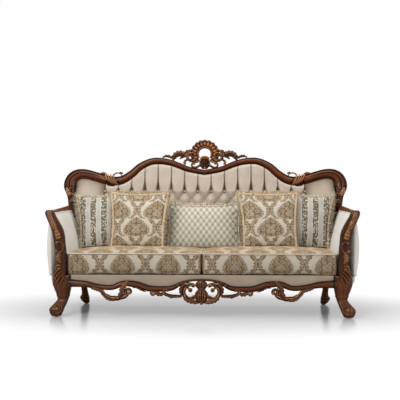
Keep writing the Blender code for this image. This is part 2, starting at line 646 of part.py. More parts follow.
def build_back_frame(plane):
    rows, arc = frame_path()
    wrap_start, wrap_end, joint = frame_arcs(rows, arc)
    y_back, y_front = -FRAME_BACK_W, -FRAME_FRONT_W
    half = stretch(rows, arc, 0, wrap_start, 23)
    place("top_rail", sweep(both_halves(half), y_back, y_front), WALNUT, 0.25, plane)
    below_seat = as_cutter(box((-BACK_HALF_WIDTH, -BACK_RISE, -BACK_RISE), (BACK_HALF_WIDTH, BACK_RISE, 0.0)))
    below_seat.location.z = LEG_TOP_Z + GAP
    for side in (-1, 1):
        wrap = stretch(rows, arc, wrap_start + GAP, wrap_end - GAP, 13)
        strands = np.linspace(0, 2 * math.pi * WRAP_STRANDS, len(wrap))
        wrap[:, 2] *= 1 + WRAP_SWELL_SHARE * (1 - STRAND_SHARE - STRAND_SHARE * np.cos(strands))
        node = place(side_name("valley_wrap", side), sweep(mirrored(wrap, side), y_back, WRAP_DEPTH_SHARE * y_front),
                     CARVED, 0.35, plane)
        centre = stretch(rows, arc, wrap_start, wrap_end, 3)[1, :3] * (1.0, 1.0, 0.0)
        for shares in (TENDRIL_SHARES, SPRIG_SHARES):
            way = on_plane(shares, TENDRIL_SIZE, TENDRIL_SIZE) + centre
            cut(node, as_cutter(tube(mirrored(way, side), TENDRIL_RADIUS, 0.0, count=9), plane), "UNION")
        shoulder = stretch(rows, arc, wrap_end, joint - GAP, 17)
        place(side_name("back_shoulder", side), sweep(mirrored(shoulder, side), y_back, y_front),
              WALNUT, 0.25, plane)
        post = stretch(rows, arc, joint, arc[-1], 13)
        node = place(side_name("back_post", side), sweep(mirrored(post, side), y_back, y_front),
                     WALNUT, 0.3, plane)
        cut(node, below_seat)


def shell_rings(rise):
    """Fluted open shell: a ring whose section swells and sinks with each flute."""
    turn = np.linspace(-SHELL_OPEN_ANGLE, math.pi + SHELL_OPEN_ANGLE, SHELL_FLUTES * 3 + 1)
    flute = 0.5 - 0.5 * np.cos(np.linspace(0, 2 * math.pi * SHELL_FLUTES, len(turn)))
    outer = SHELL_OUTER * (1 - FLUTE_SHARE + FLUTE_SHARE * np.sqrt(flute))
    rings = []
    for angle, swell, reach in zip(turn, flute, outer):
        parts = ((SHELL_INNER_SHARES, SHELL_HOLE), (SHELL_RIM_SHARES, reach), (SHELL_BACK_SHARES, SHELL_HOLE))
        rows = np.array([(share * size, SHELL_DEPTH * (flat + fluted * swell))
                         for shares, size in parts for share, flat, fluted in shares])
        rings.append(np.column_stack([rows[:, 0] * math.cos(angle), -rows[:, 1],
                                      rise + rows[:, 0] * math.sin(angle)]))
    return rings


def build_crest(plane):
    rise = BACK_RISE * FRAME_SHARES[0][1] + CREST_LIFT
    size = CREST_SCROLL_RADIUS
    base = np.array([0.0, rise, 0.0])
    node = place("crest_cartouche", loft(shell_rings(rise)), CARVED, 0.35, plane)
    sided = ((CREST_SCROLL_SHARES, 1.0, 11), (CREST_LOWER_SHARES, 0.9, 10), (CREST_LINK_SHARES, 0.8, 6),
             (CREST_LEAF_SHARES, 0.9, 10), (CREST_END_SHARES, 0.8, 6))
    for shares, flat, count in sided:
        for side in (-1, 1):
            way = on_plane(shares, SHELL_OUTER, SHELL_OUTER) + base
            cut(node, as_cutter(tube(mirrored(way, side), size, 0.0, flat, count), plane), "UNION")
    for shares, flat in ((CREST_FOOT_SHARES, 0.9), (CREST_BUD_SHARES, 0.7)):
        way = on_plane(shares, SHELL_OUTER, SHELL_OUTER) + base
        cut(node, as_cutter(tube(way, size, -GAP, flat, 9, 2), plane), "UNION")
    rows, arc = frame_path()
    half = stretch(rows, arc, 0, frame_arcs(rows, arc)[0], 23)
    cut(node, as_cutter(sweep(both_halves(half), -FRAME_BACK_W, -FRAME_FRONT_W, COVER_SHARES, GAP), plane))


def apron_path():
    rows = on_plane(APRON_SHARES, APRON_HALF_SPAN, -APRON_DROP, APRON_HALF_WIDTH)
    rows[:, 1] += APRON_TOP_Z
    return with_direction(resample(rows, 400))


def apron_stretch(rows, start_x, end_x, count):
    """Apron rows between two distances from the middle."""
    x = np.linspace(start_x, end_x, count)
    return np.column_stack([np.interp(x, rows[:, 0], column) for column in rows.T])


def apron_way(shares, side):
    rows = on_plane(shares, APRON_HALF_SPAN, -APRON_DROP)
    rows[:, 1] += APRON_TOP_Z
    return mirrored(rows, side)


def build_apron():
    rows = apron_path()
    y_back = APRON_FRONT_Y + APRON_THICKNESS
    y_mid = APRON_FRONT_Y + APRON_THICKNESS / 2
    for side in (-1, 1):
        half = apron_stretch(rows, CARTOUCHE_HALF_SPAN + GAP, rows[-1, 0], 23)
        node = place(side_name("apron_rail", side), sweep(mirrored(half, side), y_back, APRON_FRONT_Y),
                     WALNUT, 0.3)
        ways = ((SIDE_SCROLL_SHARES, 13), (SIDE_LEAF_SHARES, 7), (SIDE_CURL_SHARES, 8), (LOWER_LEAF_SHARES, 10))
        for shares, count in ways:
            helper = as_cutter(tube(apron_way(shares, side), APRON_SCROLL_RADIUS, y_mid - GAP, 0.85, count))
            cut(node, helper, "UNION")
        low_x, high_x = sorted((0.0, side * (CARTOUCHE_HALF_SPAN + GAP)))
        cut(node, as_cutter(box((low_x, -APRON_HALF_SPAN, 0.0), (high_x, APRON_HALF_SPAN, APRON_HALF_SPAN))))
        cut(node, as_cutter(front_leg_mesh(side, GAP)))


def volute_rows(side):
    """Spiral that winds in to a ball."""
    turn = np.linspace(VOLUTE_START, VOLUTE_END, 22)
    share = np.linspace(0, 1, len(turn))
    radius = VOLUTE_RADIUS * (1 - VOLUTE_WIND_SHARE * share ** 1.8)
    x = side * (VOLUTE_X - radius * np.cos(turn))
    return np.column_stack([x, VOLUTE_Z + radius * np.sin(turn), 0.95 - 0.40 * share])


def build_cartouche():
    rows = apron_path()
    y_back = APRON_FRONT_Y + APRON_THICKNESS
    y_mid = APRON_FRONT_Y + APRON_THICKNESS / 2
    half = apron_stretch(rows, 0, CARTOUCHE_HALF_SPAN - GAP, 8)
    node = place("apron_cartouche", sweep(both_halves(half), y_back, APRON_FRONT_Y), CARVED, 0.35)
    cut(node, as_cutter(tube(apron_way(BODY_SHARES, 1), APRON_SCROLL_RADIUS, y_mid, 0.45, 14, 2)), "UNION")
    for side in (-1, 1):
        cut(node, as_cutter(tube(volute_rows(side), APRON_SCROLL_RADIUS, y_mid, 0.8, 18)), "UNION")
        cut(node, as_cutter(ball(APRON_SCROLL_RADIUS, side * VOLUTE_X, y_mid, VOLUTE_Z, 0.9)), "UNION")
        for shares, count in ((HANGING_SHARES, 10), (LINK_SHARES, 4)):
            way = apron_way(shares, side)
            cut(node, as_cutter(tube(way, APRON_SCROLL_RADIUS, y_mid + GAP, 0.8, count)), "UNION")
        low_x, high_x = sorted((side * (CARTOUCHE_HALF_SPAN - GAP), side * APRON_HALF_SPAN))
        cut(node, as_cutter(box((low_x, -APRON_HALF_SPAN, 0.0), (high_x, APRON_HALF_SPAN, APRON_HALF_SPAN))))


def build_seat_frame():
    inner_leg = LEG_X - KNEE_SIZE / 2 - GAP
    rail_inner = SIDE_RAIL_X - SIDE_RAIL_WIDTH / 2 - GAP
    back_rail_back = BACK_BASE_Y - FRAME_DEPTH / 2 - GAP - SPRING_WIRE
    back_rail_front = back_rail_back - SEAT_RAIL_WIDTH
    place("seat_rail_front", box((-inner_leg, FRONT_RAIL_FRONT_Y, RAIL_BOTTOM_Z),
                                 (inner_leg, FRONT_RAIL_BACK_Y, RAIL_TOP_Z)), INNER_WOOD, 0.7)
    place("seat_rail_back", box((-rail_inner, back_rail_front, RAIL_BOTTOM_Z),
                                (rail_inner, back_rail_back, RAIL_TOP_Z)), INNER_WOOD, 0.7)
    deck_half = SEAT_HALF_WIDTH - GAP
    place("seat_deck", box((-deck_half, FRONT_RAIL_FRONT_Y, RAIL_TOP_Z + GAP),
                           (deck_half, back_rail_back, DECK_TOP_Z)), WEBBING, 0.9)
    place("dust_cover", box((-inner_leg, FRONT_RAIL_FRONT_Y, RAIL_BOTTOM_Z - GAP - DUST_COVER_THICKNESS),
                            (inner_leg, back_rail_back, RAIL_BOTTOM_Z - GAP)), WEBBING, 0.9)
    bearer_top = RAIL_TOP_Z - 2 * SPRING_WIRE - 2 * GAP
    for side in (-1, 1):
        leg_back = LEG_Y + KNEE_SIZE / 2
        rear_leg_front = REAR_LEG_Y + REAR_LEG_SHARES[-1][3] * REAR_LEG_SIZE
        rail = box((SIDE_RAIL_X - SIDE_RAIL_WIDTH / 2, leg_back + GAP, SIDE_RAIL_BOTTOM_Z),
                   (SIDE_RAIL_X + SIDE_RAIL_WIDTH / 2, rear_leg_front - GAP, RAIL_TOP_Z))
        rail.transform(Matrix.Diagonal((side, 1.0, 1.0, 1.0)))
        if side < 0:
            rail.flip_normals()
        place(side_name("side_rail", side), rail, WALNUT, 0.3)
        low_x, high_x = sorted((side * (BEARER_X - BEARER_WIDTH / 2), side * (BEARER_X + BEARER_WIDTH / 2)))
        place(side_name("cross_bearer", side), box((low_x, FRONT_RAIL_BACK_Y + GAP, RAIL_BOTTOM_Z),
                                                   (high_x, back_rail_front - GAP, bearer_top)), INNER_WOOD, 0.7)
        ends = (("front_corner_block", FRONT_RAIL_BACK_Y + GAP, 1), ("rear_corner_block", back_rail_front - GAP, -1))
        for stem, y, way in ends:
            outer = inner_leg if way > 0 else rail_inner
            corner = [(outer, y), (outer - BLOCK_SIZE, y), (outer, y + way * BLOCK_SIZE)]
            rings = [[(side * x, yy, z) for x, yy in corner] for z in (RAIL_BOTTOM_Z, bearer_top)]
            place(side_name(stem, side), loft(rings), INNER_WOOD, 0.7)
    spring_z = RAIL_TOP_Z - GAP / 2 - SPRING_WIRE
    for number, share in enumerate(SPRING_SHARES):
        y = np.linspace(FRONT_RAIL_BACK_Y + GAP + SPRING_WIRE, back_rail_front - GAP - SPRING_WIRE,
                        SPRING_WAVES * 4 + 1)
        phase = np.linspace(0, 2 * math.pi * SPRING_WAVES, len(y))
        x = share * SEAT_HALF_WIDTH + SPRING_AMPLITUDE * np.sin(phase)
        curve = bpy.data.curves.new("spring", "CURVE")
        curve.dimensions = "3D"
        curve.bevel_depth = SPRING_WIRE
        curve.bevel_resolution = 0
        curve.use_fill_caps = True
        spline = curve.splines.new("POLY")
        spline.points.add(len(y) - 1)
        for point, px, py in zip(spline.points, x, y):
            point.co = (px, py, spring_z, 1.0)
        guide = bpy.data.objects.new("guide", curve)
        CUTTERS.objects.link(guide)
        place("seat_spring_%d" % (number + 1), curve_to_mesh(guide), STEEL, 0.4, None, 1.0)


def build_front_band():
    rows = apron_path()
    end = LEG_X - KNEE_SIZE / 2 - GAP
    x = np.linspace(-end, end, 41)
    lower = np.interp(np.abs(x), rows[:, 0], rows[:, 1])
    outline = list(zip(x, lower)) + [(end, DECK_TOP_Z), (-end, DECK_TOP_Z)]
    place("front_band", plate(outline, BAND_FRONT_Y, BAND_THICKNESS), BAND_CLOTH, 0.9)


def tuft_height(x, rise, top):
    """Swell of the buttoned pad, 0 at the buttons and 1 between them: pleats above the top row, diamonds below."""
    along = x / TUFT_PITCH + 0.5
    down = (rise - TUFT_TOP_RISE) / (2 * TUFT_ROW_PITCH)
    diamond = np.sqrt(np.abs(np.sin(math.pi * (along + down)) * np.sin(math.pi * (along - down))))
    pleat = np.abs(np.sin(math.pi * along))
    swell = np.where(rise > TUFT_TOP_RISE, pleat, diamond)
    edge = np.clip(np.minimum(top - rise, rise - PAD_BOTTOM_RISE) / (TUFT_ROW_PITCH * TUFT_EDGE_SHARE), 0, 1)
    return (TUFT_FLOOR_SHARE + (1 - TUFT_FLOOR_SHARE) * swell) * np.sqrt(edge)


def build_back_pads(plane):
    rows, arc = frame_path()
    edge = inner_edge(rows, arc)
    corner = int(np.argmax(edge[:, 0]))
    steps_each_side = TUFT_COLUMNS * 2
    x = np.arange(-steps_each_side, steps_each_side + 1) * TUFT_PITCH / 4
    top = np.interp(np.abs(x), edge[:corner, 0], edge[:corner, 1]) - EDGE_GAP
    levels = [TUFT_TOP_RISE - k * TUFT_ROW_PITCH / 2 for k in range(12, -1, -1)]
    front = []
    for level in [PAD_BOTTOM_RISE] + levels:
        front.append(np.column_stack([x, np.zeros_like(x), np.full_like(x, level)]))
    for share in (0.4, 0.8, 1.0):
        front.append(np.column_stack([x, np.zeros_like(x), TUFT_TOP_RISE + share * (top - TUFT_TOP_RISE)]))
    front = np.array(front)
    swell = tuft_height(x[None, :], front[:, :, 2], top[None, :])
    front[:, :, 1] = -(PAD_EDGE_W + PAD_PUFF * swell)
    back = front.copy()
    back[:, :, 1] = -GAP
    place("back_pad_tufted", slab(front, back), BACK_CLOTH, 0.9, plane)
    start_x = TUFT_HALF_WIDTH + EDGE_GAP
    start_top = np.interp(start_x, edge[:corner, 0], edge[:corner, 1]) - EDGE_GAP
    meet_x = END_PAD_SHARE * edge[corner, 0]
    meet = int(np.argmin(np.abs(edge[:corner, 0] - meet_x)))
    outline = edge[meet:][edge[meet:, 1] > PAD_BOTTOM_RISE][::-1]
    steps = np.concatenate([[0], np.cumsum(np.linalg.norm(np.diff(outline, axis=0), axis=1))])
    share = np.linspace(0, 1, 12)
    outer = np.column_stack([np.interp(share * steps[-1], steps, column) for column in outline.T])
    inner_line = np.column_stack([np.full_like(share, start_x),
                                  PAD_BOTTOM_RISE + share * (start_top - PAD_BOTTOM_RISE)])
    across = np.linspace(0, 1, 7)
    for side in (-1, 1):
        grid = (inner_line[:, None, :] * (1 - across[None, :, None]) + outer[:, None, :] * across[None, :, None])
        under_rail = np.interp(grid[:, :, 0], edge[:corner, 0], edge[:corner, 1]) - EDGE_GAP
        grid[:, :, 1] = np.minimum(grid[:, :, 1], under_rail)
        puff = np.sqrt(4 * across * (1 - across))[None, :] * (4 * share * (1 - share))[:, None] ** 0.4
        front = np.stack([side * grid[:, :, 0], -(PAD_EDGE_W + PAD_PUFF * END_PUFF_SHARE * puff), grid[:, :, 1]], axis=2)
        back = front.copy()
        back[:, :, 1] = -GAP
        place(side_name("back_pad_end", side), slab(front, back), BACK_CLOTH, 0.9, plane)


def build_back_inside(plane):
    rows, arc = frame_path()
    edge = inner_edge(rows, arc)
    corner = int(np.argmax(edge[:, 0]))
    seat = LOWER_RAIL_RISE
    half = np.interp(-seat, -edge[corner:, 1], edge[corner:, 0])
    y_low, y_high = GAP, -FRAME_BACK_W - GAP
    place("back_lower_rail", box((-half, y_low, seat), (half, y_high, seat + LOWER_RAIL_HEIGHT)),
          INNER_WOOD, 0.7, plane)
    crest_x = UPRIGHT_SHARE * BACK_HALF_WIDTH
    for side in (-1, 1):
        top = min(np.interp(crest_x + way * UPRIGHT_WIDTH / 2, edge[:corner, 0], edge[:corner, 1])
                  for way in (-1, 1))
        low_x, high_x = sorted((side * (crest_x - UPRIGHT_WIDTH / 2), side * (crest_x + UPRIGHT_WIDTH / 2)))
        place(side_name("back_upright", side),
              box((low_x, y_low, seat + LOWER_RAIL_HEIGHT + GAP), (high_x, y_high, top)),
              INNER_WOOD, 0.7, plane)
    outline = stretch(rows, arc, 0, arc[-1], 32)[:, :2]
    outline = outline[outline[:, 1] > seat]
    right = [tuple(point) for point in outline[1:]]
    left = [(-x, z) for x, z in reversed(outline[1:])]
    place("outside_back", plate([tuple(outline[0])] + right + left, -FRAME_BACK_W + GAP, BACKING_THICKNESS),
          BACK_CLOTH, 0.9, plane)


def arm_board_x(z):
    """Middle of the leaning arm board at a height."""
    share = (z - DECK_TOP_Z) / (ARM_BOARD_TOP_Z - DECK_TOP_Z)
    return ARM_BOARD_BOTTOM_X + share * (ARM_BOARD_TOP_X - ARM_BOARD_BOTTOM_X)


def build_arms():
    low = RAIL_TOP_Z + GAP
    front_y = POST_Y + POST_DEPTH / 2 + GAP
    half_board = ARM_BOARD_THICKNESS / 2
    for side in (-1, 1):
        rings = []
        for y_at in (lambda z: front_y, lambda z: back_y(z, FRAME_FRONT_W + GAP)):
            rings.append([(side * (arm_board_x(z) + way * half_board), y_at(z), z)
                          for z, way in ((low, -1), (low, 1), (ARM_BOARD_TOP_Z, 1), (ARM_BOARD_TOP_Z, -1))])
        place(side_name("arm_board", side), loft(rings), INNER_WOOD, 0.7)
        shares = resample(ARM_PAD_SHARES, 11, places=1)
        z = low + shares[:, 0] * (ARM_PAD_TOP_Z - low)
        along = np.linspace(0, 1, 9)
        rear = back_y(z, FRAME_FRONT_W + GAP)
        y = front_y + along[:, None] * (rear - front_y)[None, :]
        swell = (4 * along * (1 - along)) ** 0.5
        x = SEAT_HALF_WIDTH + ARM_PAD_THICKNESS * shares[:, 1]
        x = x[None, :] + ARM_PAD_SWELL * (1 - swell[:, None])
        wall = np.minimum(arm_board_x(z) - half_board - GAP, ARM_RAIL_X - ARM_RAIL_RADIUS - EDGE_GAP)
        x = np.minimum(x, wall[None, :] - ARM_PAD_EDGE)
        zz = np.broadcast_to(z, y.shape)
        front = np.stack([side * x, y, zz], axis=2)
        back = np.stack([side * np.broadcast_to(wall, y.shape), y, zz], axis=2)
        place(side_name("inner_arm_pad", side), slab(front, back), ARM_CLOTH, 0.9)
        z = np.linspace(SIDE_RAIL_BOTTOM_Z + PANEL_BOTTOM_LIFT, ARM_RAIL_TOP_Z - 2 * ARM_RAIL_RADIUS - PANEL_TOP_GAP, 11)
        share = np.linspace(0, 1, len(z))
        rear = back_y(z, FRAME_FRONT_W + GAP)
        start = np.where(z < LEG_TOP_Z + GAP, LEG_Y + KNEE_SIZE / 2 + GAP, front_y)
        y = start[None, :] + along[:, None] * (rear - start)[None, :]
        inside = SIDE_RAIL_X + SIDE_RAIL_WIDTH / 2 + GAP
        bulge = PANEL_BULGE * swell[:, None] * (np.sin(math.pi * share ** 1.15) ** 0.8)[None, :]
        x = inside + PANEL_EDGE_THICKNESS + bulge
        zz = np.broadcast_to(z, y.shape)
        front = np.stack([side * x, y, zz], axis=2)
        back = np.stack([side * np.full_like(x, inside), y, zz], axis=2)
        place(side_name("outer_side_panel", side), slab(front, back), ARM_CLOTH, 0.9)
        build_arm_rail(side)


def build_arm_rail(side):
    start_y = POST_Y
    end_y = back_y(ARM_RAIL_TOP_Z, 0.0)
    share = np.linspace(0, 1, 9)
    z = ARM_RAIL_TOP_Z - ARM_RAIL_RADIUS + ARM_RAIL_RISE * share ** 2
    x = ARM_RAIL_X + ARM_RAIL_BOW * np.sin(math.pi * share) - ARM_RAIL_BOW * share
    curve = bpy.data.curves.new("arm_rail", "CURVE")
    curve.dimensions = "3D"
    curve.bevel_depth = ARM_RAIL_RADIUS
    curve.bevel_resolution = 2
    curve.use_fill_caps = True
    spline = curve.splines.new("POLY")
    spline.points.add(len(share) - 1)
    for point, px, part, pz in zip(spline.points, x, share, z):
        point.co = (side * px, start_y + part * (end_y - start_y), pz, 1.0)
    guide = bpy.data.objects.new("guide", curve)
    CUTTERS.objects.link(guide)
    node = place(side_name("arm_rail", side), curve_to_mesh(guide), WALNUT, 0.3)
    cut(node, as_cutter(post_mesh(side, GAP)))
    rows, arc = frame_path()
    joint = frame_arcs(rows, arc)[2]
    post = stretch(rows, arc, joint, arc[-1], 13)
    helper = as_cutter(sweep(mirrored(post, side), -FRAME_BACK_W, -FRAME_FRONT_W, COVER_SHARES, GAP), PLANE)
    cut(node, helper)


def build_seat_cushions():
    rear_y = back_y(DECK_TOP_Z, PAD_EDGE_W + PAD_PUFF) - EDGE_GAP
    depth = rear_y - SEAT_FRONT_Y
    outer = SEAT_HALF_WIDTH - SIDE_PLAY
    half_x = (outer - CENTRE_PLAY / 2) / 2
    half_y, half_z = depth / 2, CUSHION_THICKNESS / 2
    made = []
    for side in (-1, 1):
        built = cut_cube(CUSHION_CUT_SHARES)
        for vertex in built.verts:
            a, b, c = vertex.co
            reach = (abs(a) ** CROWN_CORNER_POWER + abs(b) ** CROWN_CORNER_POWER) ** (1 / CROWN_CORNER_POWER)
            crown = CUSHION_CROWN * (1 - reach ** CROWN_POWER) * max(c, 0)
            draw = CUSHION_DRAW + BOXING_BULGE
            x = a * (half_x - draw * (1 - b * b) + BOXING_BULGE * (1 - c * c) * (1 - b * b))
            y = b * (half_y - draw * (1 - a * a) + BOXING_BULGE * (1 - c * c) * (1 - a * a))
            vertex.co = (x, y, c * half_z + crown)
        name = side_name("seat_cushion", side)
        node = place(name, mesh_from_bmesh(built), DAMASK_CLOTH, 0.9)
        node.location = (side * (half_x + CENTRE_PLAY / 2), (rear_y + SEAT_FRONT_Y) / 2,
                         DECK_TOP_Z + PILLOW_REST_GAP + half_z)
        made.append(node)
    return made


def pillow_mesh(width, height, flare):
    """Knife-edged pillow standing in the XZ plane, its sides drawn in between pointed corners, its foot straight."""
    built = cut_cube(PILLOW_CUT_SHARES)
    for vertex in built.verts:
        a, b, c = vertex.co
        half_x = width / 2 * (1 - flare * (1 - b) / 2)
        swell = PILLOW_SWELL * ((1 - a * a) * (1 - b * b)) ** 0.55
        x = a * (half_x - PILLOW_DRAW * (1 - b * b))
        draw = PILLOW_DRAW if b > 0 else 0.0
        z = b * (height / 2 - draw * (1 - a * a))
        vertex.co = (x, c * (PILLOW_EDGE / 2 + swell), z)
    return mesh_from_bmesh(built)


def world_points(obj):
    """Corners of an object's finished mesh in world space."""
    bpy.context.view_layer.update()
    shape = obj.evaluated_get(bpy.context.evaluated_depsgraph_get())
    points = [obj.matrix_world @ vertex.co for vertex in shape.to_mesh().vertices]
    shape.to_mesh_clear()
    return points


def world_tree(obj):
    """Search tree and points of an object's finished mesh in world space."""
    points = world_points(obj)
    shape = obj.evaluated_get(bpy.context.evaluated_depsgraph_get())
    mesh = shape.to_mesh()
    mesh.calc_loop_triangles()
    faces = [tuple(triangle.vertices) for triangle in mesh.loop_triangles]
    halfway = [(points[edge.vertices[0]] + points[edge.vertices[1]]) / 2 for edge in mesh.edges]
    shape.to_mesh_clear()
    return BVHTree.FromPolygons(points, faces), points + halfway


def settle(obj, direction, supports, clearance):
    """Moves an object along a direction until it lies the clearance away from the first support it meets."""
    direction = Vector(direction).normalized()
    own_tree, own_points = world_tree(obj)
    shortest = None
    for support in supports:
        tree, points = world_tree(support)
        for origins, way, target in ((own_points, direction, tree), (points, -direction, own_tree)):
            for origin in origins:
                distance = target.ray_cast(origin, way)[3]
                if distance is not None and (shortest is None or distance < shortest):
                    shortest = distance
    if shortest is not None:
        obj.location += direction * (shortest - clearance)


def build_pillows(cushions):
    back = [bpy.data.objects[name] for name in ("back_pad_tufted", "back_pad_end_left", "back_pad_end_right")]
    start_y = BACK_BASE_Y - SQUARE_HEIGHT
    start_z = DECK_TOP_Z + CUSHION_THICKNESS + SQUARE_HEIGHT
    pillows = {}
    plan = (("striped", STRIPED_X, STRIPED_WIDTH, SQUARE_HEIGHT, 0.15, 0.0, STRIPE_CLOTH, PILLOW_LEAN),
            ("damask", DAMASK_X, DAMASK_WIDTH, SQUARE_HEIGHT, 0.12, PILLOW_TURN, PALE_DAMASK, 0.0))
    for stem, x, width, height, flare, turn, colour, lean in plan:
        for side in (-1, 1):
            name = side_name("pillow_" + stem, side)
            node = place(name, pillow_mesh(width, height, flare), colour, 0.9)
            node.rotation_euler = (-PILLOW_TILT, side * lean, side * turn)
            node.location = (side * x, start_y, start_z)
            supports = list(back)
            if stem == "damask":
                supports.append(pillows[side_name("pillow_striped", side)])
            settle(node, (0, 0, -1), cushions, PILLOW_REST_GAP)
            settle(node, (0, 1, 0), supports, PILLOW_BACK_GAP)
            settle(node, (0, 0, -1), cushions, PILLOW_REST_GAP)
            pillows[name] = node
    name = "pillow_lumbar"
    node = place(name, pillow_mesh(LUMBAR_WIDTH, LUMBAR_HEIGHT, 0.0), LATTICE_CLOTH, 0.9)
    node.rotation_euler = (-PILLOW_TILT, 0.0, 0.0)
    node.location = (0.0, start_y, start_z)
    settle(node, (0, 0, -1), cushions, PILLOW_REST_GAP)
    settle(node, (0, 1, 0), back, PILLOW_BACK_GAP)
    settle(node, (0, 0, -1), cushions, PILLOW_REST_GAP)


def centre_on_origin():
    """Moves the whole settee so that its box is centred over the origin and stands on z = 0."""
    points = [point for obj in SOFA.objects if obj.type == "MESH" for point in world_points(obj)]
    lows = [min(point[k] for point in points) for k in range(3)]
    highs = [max(point[k] for point in points) for k in range(3)]
    shift = Vector((-(lows[0] + highs[0]) / 2, -(lows[1] + highs[1]) / 2, -lows[2]))
    for obj in bpy.data.objects:
        if obj.parent is None:
            obj.location += shift


clear_scene()
SOFA = new_collection("carved_settee")
CUTTERS = new_collection("cutters")
PLANE = bpy.data.objects.new("back_plane", None)
SOFA.objects.link(PLANE)
PLANE.location = (0.0, BACK_BASE_Y, BACK_BASE_Z)
PLANE.rotation_euler = (-RECLINE, 0.0, 0.0)
build_legs()
build_back_frame(PLANE)
build_crest(PLANE)
build_apron()
build_cartouche()
build_seat_frame()
build_front_band()
build_back_pads(PLANE)
build_back_inside(PLANE)
build_arms()
build_pillows(build_seat_cushions())
centre_on_origin()
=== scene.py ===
import math
import bmesh
import bpy
import numpy as np
from mathutils import Matrix, Vector


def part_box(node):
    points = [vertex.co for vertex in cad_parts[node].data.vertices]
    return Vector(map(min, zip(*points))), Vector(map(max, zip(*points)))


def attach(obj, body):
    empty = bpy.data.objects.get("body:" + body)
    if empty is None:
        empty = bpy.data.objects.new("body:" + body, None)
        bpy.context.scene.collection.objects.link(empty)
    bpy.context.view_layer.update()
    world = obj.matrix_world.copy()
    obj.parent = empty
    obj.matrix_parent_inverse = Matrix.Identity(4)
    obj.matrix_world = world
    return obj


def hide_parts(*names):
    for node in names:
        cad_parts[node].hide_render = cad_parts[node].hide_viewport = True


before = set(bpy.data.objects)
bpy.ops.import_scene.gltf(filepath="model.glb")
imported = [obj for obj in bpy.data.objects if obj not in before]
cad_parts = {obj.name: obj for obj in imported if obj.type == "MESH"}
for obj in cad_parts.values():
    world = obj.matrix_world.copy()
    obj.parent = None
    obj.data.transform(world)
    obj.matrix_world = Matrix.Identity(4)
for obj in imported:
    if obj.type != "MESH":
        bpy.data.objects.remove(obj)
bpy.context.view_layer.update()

# the CAD model was moved back when it was centred, so every shape here is moved by the same length
seatRailFront = -0.4052
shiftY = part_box("seat_rail_front")[0][1] - seatRailFront

seat = {"halfWidth": 0.979, "frontY": -0.432, "railTop": 0.298, "deckTop": 0.3048}
back = {"baseY": 0.205, "baseZ": 0.300, "recline": math.radians(10), "halfWidth": 1.148, "rise": 0.893,
        "railHalf": 0.0525, "rear": 0.030, "front": -0.030}


# small tools

def smoothRows(rows, count, places=2):
    # cubic curve through the rows, each span weighted by its four neighbours, then cut into even steps
    rows = np.asarray(rows, float)
    ext = np.vstack([2 * rows[0] - rows[1], rows, 2 * rows[-1] - rows[-2]])
    t = np.linspace(0, 1, 24, endpoint=False)[None, :, None]
    a, b, c, d = ext[:-3, None], ext[1:-2, None], ext[2:-1, None], ext[3:, None]
    fine = 2 * b + (c - a) * t + (2 * a - 5 * b + 4 * c - d) * t ** 2 + (3 * b - a - 3 * c + d) * t ** 3
    fine = np.vstack([(0.5 * fine).reshape(-1, rows.shape[1]), rows[-1:]])
    return evenly(fine, count, places)


def arcOf(path):
    # length along a path up to each of its points
    return np.concatenate([[0], np.cumsum(np.linalg.norm(np.diff(path, axis=0), axis=1))])


def evenly(path, count, places):
    # the path's columns read at even steps of the length along its first few
    arc = arcOf(path[:, :places])
    return columnsAt(np.linspace(0, arc[-1], count), arc, path)


def columnsAt(at, known, rows):
    # every column of the rows read between its known places
    return np.column_stack([np.interp(at, known, column) for column in rows.T])


def circle(count):
    # angles once round, as a row
    return np.linspace(0, 2 * math.pi, count, endpoint=False)[None, :]


def directions(path):
    # unit steps along a path of points
    step = np.gradient(path, axis=0)
    return step / np.maximum(np.linalg.norm(step, axis=-1, keepdims=True), 1e-9)


def smoothStep(low, high, x):
    # 0 below low, 1 above high, a cubic ease between
    t = np.clip((x - low) / (high - low), 0, 1)
    return t * t * (3 - 2 * t)


def hill(t):
    # a parabola that is 0 at both ends of 0 to 1 and 1 half way
    return np.clip(4 * t * (1 - t), 0, 1)


def onBack(points):
    # from the back's own plane (x, depth towards the rear, rise up the slope) to upright space
    c, s = math.cos(back["recline"]), math.sin(back["recline"])
    x, y, z = points[..., 0], points[..., 1], points[..., 2]
    return np.stack([x, back["baseY"] + y * c + z * s, back["baseZ"] - y * s + z * c], -1)


def surface(points, relief=0.5, wrap=True, cloth=None):
    # a grid of points as quads; with wrap its last column joins its first and both ends are closed
    nu, nv = points.shape[:2]
    relief = np.broadcast_to(relief, (nu, nv))
    if cloth is None:
        cloth = np.zeros((nu, nv, 3))
    index = np.arange(nu * nv).reshape(nu, nv)
    if wrap:
        index = np.concatenate([index, index[:, :1]], 1)
    quads = [np.stack([index[:-1, :-1], index[1:, :-1], index[1:, 1:], index[:-1, 1:]], -1).reshape(-1, 4)]
    if wrap:
        j = np.arange(nv // 2 - 1)
        for row in (0, nu - 1):
            quads.append(np.stack([j, j + 1, nv - 2 - j, nv - 1 - j], -1) + row * nv)
    return {"points": points.reshape(-1, 3), "quads": np.concatenate(quads), "relief": relief.reshape(-1),
            "cloth": cloth.reshape(-1, 3)}


def merged(shapes):
    # several grids as one, their corner numbers counted on
    starts = np.cumsum([0] + [len(s["points"]) for s in shapes[:-1]])
    joined = {key: np.concatenate([s[key] for s in shapes]) for key in ("points", "relief", "cloth")}
    return dict(joined, quads=np.vstack([s["quads"] + k for s, k in zip(shapes, starts)]))


def flipped(shape, side):
    # the same shape on the given side of the middle plane
    return dict(shape, points=shape["points"] * (side, 1, 1))


